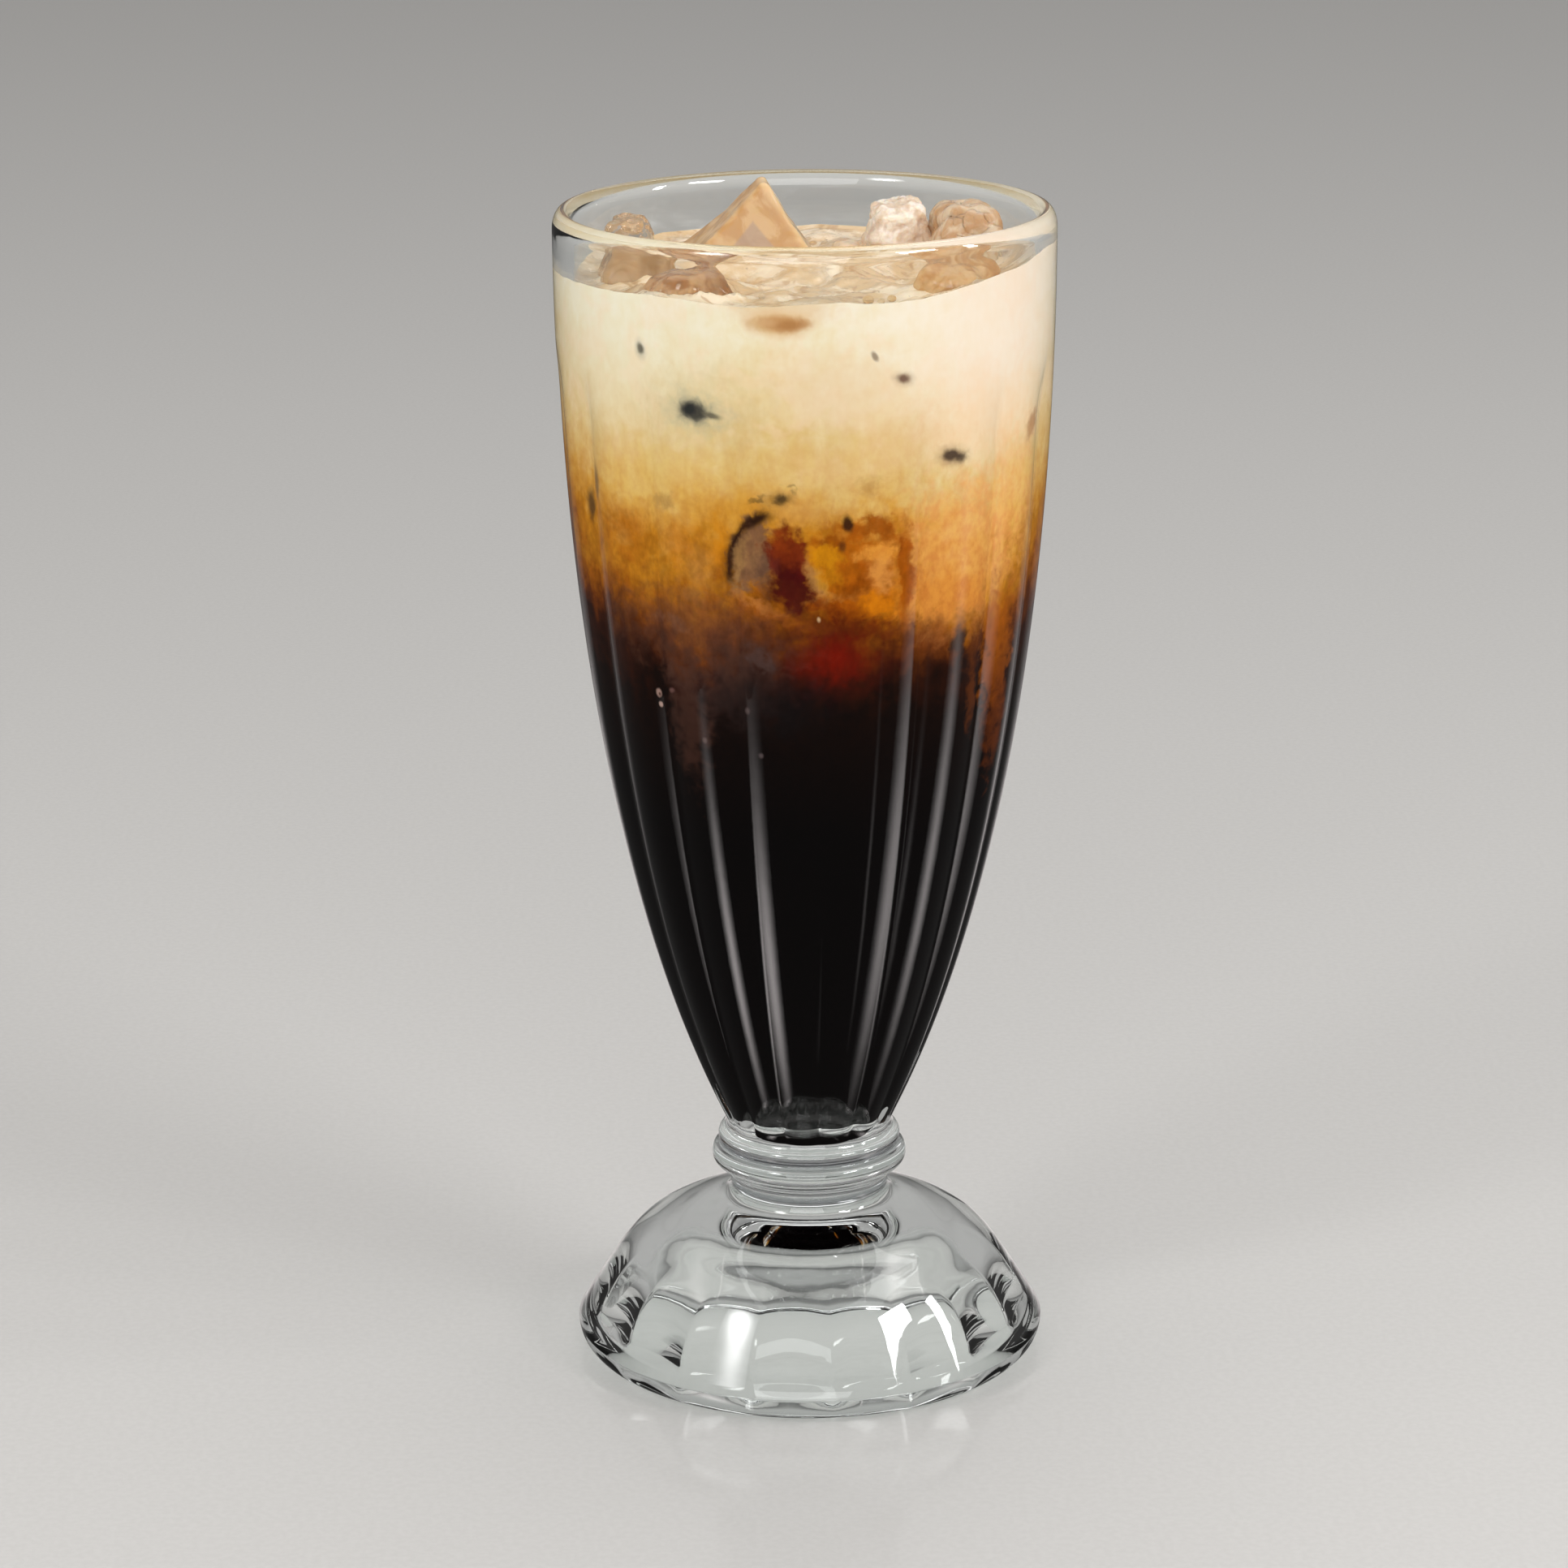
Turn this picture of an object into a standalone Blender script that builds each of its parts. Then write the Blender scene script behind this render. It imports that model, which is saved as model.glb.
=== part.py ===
"""Iced coffee in a footed fountain glass.

The glass is one pressed piece: a ribbed bowl on a double bead ring, a short neck and a hollow panelled foot.
It holds black coffee, a band where the two have mixed, milk on top, and the ice that stands out of the milk.
Units are metres and +Z is up. The origin is the middle of the foot on the table, and the glass is seen from -Y.
Run it with: blender --background --python part.py
"""

import math

import bmesh
import bpy
import numpy as np
from mathutils import Euler, Matrix, Vector

# Driving sizes of the glass
GLASS_HEIGHT = 0.192
RIM_RADIUS = 0.040
RIM_WALL = 0.0033
RIB_COUNT = 16
RIB_TURN = math.radians(6.0)
RIB_DEPTH = 0.028
RIB_TOP = 0.1720
RIB_FULL = 0.1610
RIB_FOOT = 0.0392
RIB_FOOT_FULL = 0.0420
SEGMENTS = 64

# Outer line of the bowl, as the control points of one Bezier curve: (radius, height)
BOWL_OUTER = ((0.01365, 0.0395), (0.0333, 0.0791), (0.0400, 0.1346), (RIM_RADIUS, 0.1890))

# Inner line of the bowl, from the ledge above the well to the lip
BOWL_INNER = ((0.0088, 0.0428), (0.0312, 0.0815), (0.0367, 0.1360), (RIM_RADIUS - RIM_WALL, 0.1890))

# Well in the thick bottom of the bowl
WELL_FLOOR = 0.0364
WELL_RADIUS = 0.0058
WELL_CORNER = 0.0010
WELL_TOP = 0.0408

# Bead ring: (radius of the circle, height, radius of the bead)
UPPER_BEAD = (0.0138, 0.03675, 0.00135)
LOWER_BEAD = (0.01425, 0.0336, 0.00195)

# Neck and foot
NECK = ((0.0146, 0.0313), (0.0124, 0.0302), (0.0122, 0.0262), (0.0165, 0.0251))
DOME = ((0.0133, 0.0264), (0.0308, 0.0192), (0.0276, 0.0229), (0.0389, 0.0048))
DOME_START = 0.066
EDGE_CENTRE_RADIUS = 0.0341
EDGE_HEIGHT = 0.0048
CONTACT_INNER_RADIUS = 0.0326
HOLLOW_LEDGE = (0.0316, 0.0026)
HOLLOW = ((0.0312, 0.0032), (0.0306, 0.0105), (0.0235, 0.0178), (0.0097, 0.0183))
HOLLOW_CREST = 0.0190
PANEL_DEPTH = 0.035

# Drink
GAP = 0.0003
LAYER_GAP = 0.0004
DRINK_SEGMENTS = 32
RING_SHARES = (0.0, 0.3, 0.55, 0.78, 0.92)
COFFEE_LEVEL = 0.1235
MIXED_LEVEL = 0.1475
MILK_LEVEL = 0.1820
LAYER_WAVE = 0.0016
MILK_WAVE = 0.0004
MENISCUS = 0.0007
FILM_RISE = 0.0042
FILM_ANGLE = math.radians(-6.0)
FILM_SPREAD = math.radians(38.0)
FILM_WIDTH = 0.006

ICE_CUT_GAP = 0.0005


def new_material(name, colour, roughness, metallic=0.0, transmission=0.0, ior=1.5):
    """A Principled material with one colour."""
    material = bpy.data.materials.new(name)
    material.use_nodes = True
    shader = material.node_tree.nodes["Principled BSDF"]
    shader.inputs["Base Color"].default_value = (*colour, 1.0)
    shader.inputs["Roughness"].default_value = roughness
    shader.inputs["Metallic"].default_value = metallic
    shader.inputs["Transmission Weight"].default_value = transmission
    shader.inputs["IOR"].default_value = ior
    material.diffuse_color = (*colour, 1.0)
    return material


def bezier(points, count, start=0.0, end=1.0):
    """Points along a cubic Bezier curve, from one share of its length parameter to another."""
    control = np.array(points, float)
    t = np.linspace(start, end, count)[:, None]
    weights = ((1 - t) ** 3, 3 * t * (1 - t) ** 2, 3 * t * t * (1 - t), t ** 3)
    curve = sum(weight * point for weight, point in zip(weights, control))
    return [(float(radius), float(height)) for radius, height in curve]


def arc(centre, half_sizes, start, end, count):
    """Points on an elliptical arc in the (radius, height) plane. Angles are in degrees from +radius."""
    points = []
    for angle in np.radians(np.linspace(start, end, count)):
        radius = centre[0] + half_sizes[0] * math.cos(angle)
        height = centre[1] + half_sizes[1] * math.sin(angle)
        points.append((radius, height))
    return points


def radius_on(points, height):
    """The radius of a turned line at a height."""
    curve = bezier(points, 200)
    return float(np.interp(height, [z for r, z in curve], [r for r, z in curve]))


def wall_inside(height):
    """The radius of the glass's inner wall at a height, ledge and well included."""
    if height <= WELL_TOP:
        return WELL_RADIUS
    if height < BOWL_INNER[0][1]:
        share = (height - WELL_TOP) / (BOWL_INNER[0][1] - WELL_TOP)
        return WELL_RADIUS + share * (BOWL_INNER[0][0] - WELL_RADIUS)
    return radius_on(BOWL_INNER, height)


def turned_mesh(name, outline, segments):
    """A closed solid turned from an outline with a Screw modifier, as a plain mesh."""
    line = bpy.data.meshes.new(name + "_line")
    line.from_pydata([(radius, 0.0, height) for radius, height in outline], [], [])
    line.edges.add(len(outline) - 1)
    for index, edge in enumerate(line.edges):
        edge.vertices = (index, index + 1)
    turned = bpy.data.objects.new(name + "_turned", line)
    bpy.context.scene.collection.objects.link(turned)
    screw = turned.modifiers.new("Screw", "SCREW")
    screw.axis = "Z"
    screw.steps = segments
    screw.render_steps = segments
    screw.use_merge_vertices = True
    screw.merge_threshold = 0.00001
    evaluated = turned.evaluated_get(bpy.context.evaluated_depsgraph_get())
    mesh = bpy.data.meshes.new_from_object(evaluated)
    mesh.name = name
    bpy.data.objects.remove(turned)
    return mesh


def split_quads(mesh):
    """Splits every quad along its shorter diagonal, so that two layers with one border bend along the same lines."""
    shape = bmesh.new()
    shape.from_mesh(mesh)
    bmesh.ops.triangulate(shape, faces=shape.faces, quad_method="SHORT_EDGE")
    shape.to_mesh(mesh)
    shape.free()


def place(name, mesh, material, collection):
    """A named object with its one material, shaded smooth up to a crease angle."""
    mesh.materials.clear()
    mesh.materials.append(material)
    mesh.shade_smooth()
    mesh.set_sharp_from_angle(angle=math.radians(35.0))
    made = bpy.data.objects.new(name, mesh)
    collection.objects.link(made)
    return made


def smooth_step(value):
    """A smooth rise from 0 to 1."""
    share = min(max(value, 0.0), 1.0)
    return share * share * (3.0 - 2.0 * share)


def groove(angle):
    """1 in the line between two ribs, and 0 on a rib's crest."""
    return 1.0 - abs(math.sin(RIB_COUNT / 2 * angle))


def glass_outline():
    """The glass's section, from the floor of the well, over the lip and down the outside to the hollow's top."""
    lip = (RIM_RADIUS - RIM_WALL / 2, BOWL_OUTER[3][1])
    lip_rise = GLASS_HEIGHT - BOWL_OUTER[3][1]
    well = arc((WELL_RADIUS - WELL_CORNER, WELL_FLOOR + WELL_CORNER), (WELL_CORNER, WELL_CORNER), -90, 0, 3)
    outline = [(0.0, WELL_FLOOR), *well, (WELL_RADIUS, WELL_TOP)]
    outline += bezier(BOWL_INNER, 11)
    outline += arc(lip, (RIM_WALL / 2, lip_rise), 180, 0, 7)[1:-1]
    outline += bezier(BOWL_OUTER, 15)[::-1]
    outline += arc(UPPER_BEAD[:2], (UPPER_BEAD[2],) * 2, 68, -48, 4)
    outline += arc(LOWER_BEAD[:2], (LOWER_BEAD[2],) * 2, 60, -68, 6)
    outline += bezier(NECK, 4)[1:]
    outline += bezier(DOME, 9, DOME_START)[1:]
    outline += arc((EDGE_CENTRE_RADIUS, EDGE_HEIGHT), (DOME[3][0] - EDGE_CENTRE_RADIUS, EDGE_HEIGHT), 0, -90, 5)[1:]
    outline += [(CONTACT_INNER_RADIUS, 0.0), HOLLOW_LEDGE]
    outline += bezier(HOLLOW, 7)
    outline += [(0.0, HOLLOW_CREST)]
    return outline


def add_ribs(mesh):
    """Draws the grooves between the ribs into the bowl, and the panels into the foot's hollow."""
    tolerance = 0.00002
    for vertex in mesh.vertices:
        x, y, z = vertex.co
        radius = math.hypot(x, y)
        angle = math.atan2(y, x)
        inward = 0.0
        if RIB_FOOT < z < RIB_TOP and abs(radius - radius_on(BOWL_OUTER, z)) < tolerance:
            fade = smooth_step((RIB_TOP - z) / (RIB_TOP - RIB_FULL))
            fade *= smooth_step((z - RIB_FOOT) / (RIB_FOOT_FULL - RIB_FOOT))
            inward = RIB_DEPTH * groove(angle) * fade
        elif z < HOLLOW_CREST and abs(radius - radius_on(HOLLOW, z)) < tolerance:
            inward = PANEL_DEPTH * (1.0 - groove(angle))
        vertex.co.x = x * (1.0 - inward)
        vertex.co.y = y * (1.0 - inward)
    mesh.transform(Matrix.Rotation(RIB_TURN, 4, "Z"))


def build_glass(collection):
    """The pressed glass, from the lip to the foot's hollow."""
    mesh = turned_mesh("glass", glass_outline(), SEGMENTS)
    add_ribs(mesh)
    return place("glass", mesh, new_material("clear_glass", (0.93, 0.97, 0.95), 0.02, transmission=1.0), collection)


def layer_wave(x, y, phase):
    """How far an uneven surface between two layers stands above its level."""
    wave = math.sin(95.0 * x + phase) + math.cos(120.0 * y - 1.7 * phase)
    wave += 0.6 * math.sin(210.0 * (x + 0.6 * y) + 2.3 * phase)
    return LAYER_WAVE * wave


def milk_surface(x, y):
    """How far the milk's top stands above its level: soft swells, the meniscus, and the film on the right wall."""
    swell = MILK_WAVE * (math.sin(240.0 * x + 0.4) + math.cos(205.0 * y + 260.0 * x))
    radius = math.hypot(x, y)
    edge = smooth_step(1.0 - (wall_inside(MILK_LEVEL) - radius) / FILM_WIDTH)
    turn = (math.atan2(y, x) - FILM_ANGLE) / FILM_SPREAD
    film = FILM_RISE * math.exp(-turn * turn)
    return swell * (1.0 - edge) + (MENISCUS + film) * edge


def build_layer(name, floor, level, rises, material, collection):
    """One layer of the drink, GAP inside the glass's wall. rises holds how its floor and its top leave their levels."""
    heights = np.linspace(level, floor, max(3, round((level - floor) / 0.0075) + 1))
    outline = [((wall_inside(level) - GAP) * share, level) for share in RING_SHARES]
    outline += [(wall_inside(height) - GAP, float(height)) for height in heights]
    outline += [((wall_inside(floor) - GAP) * share, floor) for share in RING_SHARES[::-1]]
    mesh = turned_mesh(name, outline, DRINK_SEGMENTS)
    for vertex in mesh.vertices:
        x, y, z = vertex.co
        radius = math.hypot(x, y)
        share = (z - floor) / (level - floor)
        rise = rises[0](x, y) * (1.0 - share) + rises[1](x, y) * share
        on_wall = radius > wall_inside(z) - 2 * GAP
        vertex.co.z = z + rise
        if on_wall:
            turned = (wall_inside(z + rise) - GAP) / radius
            vertex.co.x = x * turned
            vertex.co.y = y * turned
    split_quads(mesh)
    return place(name, mesh, material, collection)


def build_coffee(material, collection):
    """The black coffee, from the well's floor to the band above it."""
    floor = WELL_FLOOR + GAP
    corner = WELL_CORNER
    top = COFFEE_LEVEL - LAYER_GAP / 2
    top_radius = wall_inside(top) - GAP
    outline = [(top_radius * share, top) for share in RING_SHARES]
    inner = [point for point in bezier(BOWL_INNER, 12)[::-1] if point[1] < top - 0.004]
    outline += [(top_radius, top)]
    outline += [(radius - GAP, height + GAP / 2) for radius, height in inner]
    outline += [(WELL_RADIUS - GAP, WELL_TOP + GAP / 2)]
    outline += arc((WELL_RADIUS - GAP - corner, floor + corner), (corner, corner), 0, -90, 3)
    outline += [(0.0, floor)]
    mesh = turned_mesh("coffee", outline, DRINK_SEGMENTS)
    for vertex in mesh.vertices:
        x, y, z = vertex.co
        if z > top - GAP:
            rise = layer_wave(x, y, 0.0)
            radius = math.hypot(x, y)
            vertex.co.z = z + rise
            if radius > top_radius - GAP:
                turned = (wall_inside(z + rise) - GAP) / radius
                vertex.co.x = x * turned
                vertex.co.y = y * turned
    split_quads(mesh)
    return place("coffee", mesh, material, collection)


def ice_block(name, centre, size, turn, shoulder, crowns, jitter, seed, material, collection):
    """A worn ice cube: a box with one or more crowns drawn in above its shoulder, and rounded, uneven edges.

    centre and size are in metres and turn is in degrees about X, Y and Z. shoulder and the crowns are shares of
    the size, measured from the middle: each crown is its width, its depth, its sideways shift and its height.
    """
    shape = bmesh.new()
    bmesh.ops.create_cube(shape, size=1.0)
    top = next(face for face in shape.faces if face.normal.z > 0.5)
    for vertex in top.verts:
        vertex.co.z = shoulder
    for width, depth, shift, height in crowns:
        middle = top.calc_center_median()
        top = bmesh.ops.extrude_discrete_faces(shape, faces=[top])["faces"][0]
        for vertex in top.verts:
            vertex.co.x = shift + math.copysign(width / 2, vertex.co.x - middle.x)
            vertex.co.y = math.copysign(depth / 2, vertex.co.y - middle.y)
            vertex.co.z = height
    random = np.random.default_rng(seed)
    for vertex in shape.verts:
        vertex.co += Vector(random.uniform(-jitter, jitter, 3))
    bmesh.ops.scale(shape, vec=size, verts=shape.verts)
    bmesh.ops.rotate(shape, matrix=Euler([math.radians(a) for a in turn]).to_matrix(), verts=shape.verts)
    bmesh.ops.translate(shape, vec=centre, verts=shape.verts)
    mesh = bpy.data.meshes.new(name)
    shape.to_mesh(mesh)
    shape.free()
    block = place(name, mesh, material, collection)
    bevel = block.modifiers.new("Bevel", "BEVEL")
    bevel.width = min(size) * 0.16
    bevel.segments = 2
    bevel.limit_method = "ANGLE"
    bevel.angle_limit = math.radians(20.0)
    return block


# Ice above the milk. Each piece: centre and size (mm), turn (degrees), shoulder, crowns, jitter, seed
ICE = {
    "ice_peak": (
        (-9.6, 6.0, 182.6),
        (23.0, 14.5, 25.6),
        (3, 0, 5),
        -0.02,
        ((0.40, 0.60, 0.08, 0.28), (0.04, 0.36, 0.13, 0.50)),
        0.012,
        3,
    ),
    "ice_frosted": ((14.8, 12.6, 182.6), (9.8, 12.0, 17.0), (5, -3, 6), 0.22, ((0.82, 0.82, 0.0, 0.5),), 0.03, 5),
    "ice_amber_back": ((25.7, 6.2, 182.4), (8.8, 12.6, 16.0), (-4, 3, 8), 0.2, ((0.78, 0.80, -0.02, 0.5),), 0.03, 8),
    "ice_slab_right": ((23.4, -15.6, 180.2), (9.8, 12.0, 11.6), (8, 6, -24), 0.24, ((0.84, 0.84, 0.0, 0.5),), 0.03, 11),
    "ice_amber_front": ((-17.6, -21.4, 180.0), (12.8, 8.8, 11.0), (5, -4, 20), 0.16, ((0.74, 0.7, 0.0, 0.5),), 0.03, 13),
    "ice_slab_left": ((-26.2, -6.6, 180.0), (11.0, 13.4, 11.0), (-6, 6, 10), 0.24, ((0.84, 0.84, 0.0, 0.5),), 0.03, 17),
    "ice_clear_back": ((-28.0, 8.8, 182.0), (7.6, 9.0, 14.4), (4, -4, -8), 0.2, ((0.74, 0.76, 0.0, 0.5),), 0.03, 19),
    "ice_small": ((6.4, 1.2, 181.8), (5.0, 5.6, 8.4), (8, 8, 20), 0.16, ((0.68, 0.68, 0.0, 0.5),), 0.04, 23),
}


def build_ice(material, collection):
    """Every piece of ice that stands out of the milk."""
    blocks = []
    for name, (centre, size, *shape) in ICE.items():
        centre_m = [value * 0.001 for value in centre]
        size_m = [value * 0.001 for value in size]
        blocks.append(ice_block(name, centre_m, size_m, *shape, material, collection))
    return blocks


def cut_round_ice(milk, blocks, cutters):
    """Cuts a pocket for each piece of ice into the milk, a little larger than the ice."""
    for block in blocks:
        evaluated = block.evaluated_get(bpy.context.evaluated_depsgraph_get())
        mesh = bpy.data.meshes.new_from_object(evaluated)
        cutter = bpy.data.objects.new(block.name + "_pocket", mesh)
        cutter.hide_render = True
        cutter.display_type = "WIRE"
        cutters.objects.link(cutter)
        grow = cutter.modifiers.new("Grow", "DISPLACE")
        grow.direction = "NORMAL"
        grow.strength = ICE_CUT_GAP
        grow.mid_level = 0.0
        cut = milk.modifiers.new("Cut_" + block.name, "BOOLEAN")
        cut.operation = "DIFFERENCE"
        cut.solver = "EXACT"
        cut.object = cutter


def main():
    """Builds the whole object."""
    for old in list(bpy.data.objects):
        bpy.data.objects.remove(old)
    parts = bpy.data.collections.new("iced_coffee")
    cutters = bpy.data.collections.new("cutters")
    bpy.context.scene.collection.children.link(parts)
    bpy.context.scene.collection.children.link(cutters)

    build_glass(parts)
    build_coffee(new_material("black_coffee", (0.010, 0.004, 0.003), 0.08), parts)
    build_layer(
        "mixed_coffee",
        COFFEE_LEVEL + LAYER_GAP / 2,
        MIXED_LEVEL - LAYER_GAP / 2,
        (lambda x, y: layer_wave(x, y, 0.0), lambda x, y: layer_wave(x, y, 2.1)),
        new_material("coffee_and_milk", (0.42, 0.17, 0.03), 0.15),
        parts,
    )
    milk = build_layer(
        "milk",
        MIXED_LEVEL + LAYER_GAP / 2,
        MILK_LEVEL,
        (lambda x, y: layer_wave(x, y, 2.1), milk_surface),
        new_material("milk", (0.80, 0.66, 0.45), 0.25),
        parts,
    )
    blocks = build_ice(new_material("ice", (0.80, 0.62, 0.36), 0.12, transmission=0.3, ior=1.31), parts)
    cut_round_ice(milk, blocks, cutters)


main()
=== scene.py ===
"""Iced coffee in a ribbed, footed soda glass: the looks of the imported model, in a pale studio.

Lengths are in metres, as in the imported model, unless a name ends in _mm. Azimuths are in degrees, measured
from the side the camera stands on (-Y) towards +X.
"""

import logging
import math
from contextlib import contextmanager
from dataclasses import dataclass
from enum import Enum
from functools import reduce
from typing import Iterator, Sequence

import bpy
import numpy as np
from mathutils import Euler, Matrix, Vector, noise


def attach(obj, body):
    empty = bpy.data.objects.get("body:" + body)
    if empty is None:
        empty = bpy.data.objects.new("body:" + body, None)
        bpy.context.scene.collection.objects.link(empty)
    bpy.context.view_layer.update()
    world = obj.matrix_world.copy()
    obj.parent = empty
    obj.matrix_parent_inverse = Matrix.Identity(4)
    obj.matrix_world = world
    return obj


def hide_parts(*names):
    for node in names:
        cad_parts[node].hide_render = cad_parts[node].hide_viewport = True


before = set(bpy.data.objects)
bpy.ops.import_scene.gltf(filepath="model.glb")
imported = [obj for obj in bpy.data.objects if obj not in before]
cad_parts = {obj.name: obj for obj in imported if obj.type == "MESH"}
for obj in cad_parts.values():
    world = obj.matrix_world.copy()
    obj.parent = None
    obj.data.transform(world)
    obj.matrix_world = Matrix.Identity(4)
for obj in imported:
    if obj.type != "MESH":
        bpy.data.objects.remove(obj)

log = logging.getLogger("iced_coffee")

MM = 0.001
TINY = 1e-6
NUMBER = "NodeSocketFloat"
VECTOR = "NodeSocketVector"
COLOUR = "NodeSocketColor"

Point = tuple[float, float]
Row = Sequence[float]
Outline = list[Point]
Colour = tuple[float, float, float]
Values = dict[str | int, object]


def tone(red: int, green: int, blue: int) -> Colour:
    """Turns a colour as a screen shows it, 0 to 255, into the linear values that shaders take."""
    shares = (value / 255.0 for value in (red, green, blue))
    return tuple(s / 12.92 if s <= 0.04045 else ((s + 0.055) / 1.055) ** 2.4 for s in shares)


def smooth_step(value: np.ndarray) -> np.ndarray:
    """A smooth rise from 0 to 1."""
    share = np.clip(value, 0.0, 1.0)
    return share * share * (3.0 - 2.0 * share)


def bezier(points: Sequence[Point], count: int, start: float = 0.0) -> Outline:
    """Points along a cubic Bezier curve.

    Args:
        points: The four control points, as (radius, height).
        count: How many points to give.
        start: The share of the curve to begin at.

    Returns:
        The points, from start to the curve's end.
    """
    control = np.array(points, float)
    t = np.linspace(start, 1.0, count)[:, None]
    weights = ((1 - t) ** 3, 3 * t * (1 - t) ** 2, 3 * t * t * (1 - t), t**3)
    curve = sum(weight * point for weight, point in zip(weights, control))
    return [(float(radius), float(height)) for radius, height in curve]


def arc(centre: Point, halves: Point, start: float, end: float, count: int) -> Outline:
    """Points on an elliptical arc in the (radius, height) plane, with its angles in degrees from +radius."""
    angles = np.radians(np.linspace(start, end, count))
    return [(centre[0] + halves[0] * math.cos(a), centre[1] + halves[1] * math.sin(a)) for a in angles]


class Bench:
    """The modelling moves that every piece shares, done with Blender's operators."""

    @staticmethod
    def clear() -> None:
        """Deselects everything."""
        for other in bpy.context.selected_objects:
            other.select_set(False)

    @staticmethod
    def take(piece: bpy.types.Object) -> None:
        """Selects one object alone and makes it the active one.

        Args:
            piece: The object.
        """
        Bench.clear()
        piece.select_set(True)
        bpy.context.view_layer.objects.active = piece

    @staticmethod
    @contextmanager
    def editing() -> Iterator[None]:
        """Selects all of the active mesh in edit mode, for as long as the block lasts."""
        bpy.ops.object.mode_set(mode="EDIT")
        bpy.ops.mesh.select_all(action="SELECT")
        yield
        bpy.ops.object.mode_set(mode="OBJECT")

    @staticmethod
    def placed(name: str, data: bpy.types.ID) -> bpy.types.Object:
        """Puts a mesh, a light or a camera into the scene as an object.

        Args:
            name: The object's name.
            data: What it shows.

        Returns:
            The object.
        """
        made = bpy.data.objects.new(name, data)
        bpy.context.scene.collection.objects.link(made)
        return made

    @staticmethod
    def turned(name: str, outline: Outline, steps: int) -> bpy.types.Object:
        """Draws an outline as a curve, makes it a mesh and spins it into a closed turned solid.

        Args:
            name: The piece's name.
            outline: (radius, height) points from axis to axis.
            steps: How many steps the spin takes.

        Returns:
            The piece, smooth and with its normals outwards.
        """
        Bench.clear()
        bpy.ops.curve.primitive_bezier_curve_add(location=(0.0, 0.0, 0.0))
        drawn = bpy.context.object
        drawn.data.splines.clear()
        spline = drawn.data.splines.new("POLY")
        spline.points.add(len(outline) - 1)
        for point, (radius, height) in zip(spline.points, outline):
            point.co = (radius, 0.0, height, 1.0)
        bpy.ops.object.convert(target="MESH")
        piece = bpy.context.object
        piece.name = name
        piece.data.name = name
        with Bench.editing():
            bpy.ops.mesh.spin(steps=steps, angle=2.0 * math.pi, center=(0.0, 0.0, 0.0), axis=(0.0, 0.0, 1.0))
            bpy.ops.mesh.select_all(action="SELECT")
            bpy.ops.mesh.remove_doubles(threshold=TINY)
            bpy.ops.mesh.normals_make_consistent(inside=False)
        bpy.ops.object.shade_smooth()
        return piece

    @staticmethod
    def points(piece: bpy.types.Object) -> np.ndarray:
        """Reads where a piece's vertices are.

        Args:
            piece: The piece.

        Returns:
            Rows of x, y and z.
        """
        flat = np.empty(len(piece.data.vertices) * 3, np.float32)
        piece.data.vertices.foreach_get("co", flat)
        return flat.reshape(-1, 3).astype(float)

    @staticmethod
    def move_points(piece: bpy.types.Object, points: np.ndarray) -> None:
        """Puts the piece's vertices at the given rows of x, y and z."""
        piece.data.vertices.foreach_set("co", points.astype(np.float32).ravel())
        piece.data.update()


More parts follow.
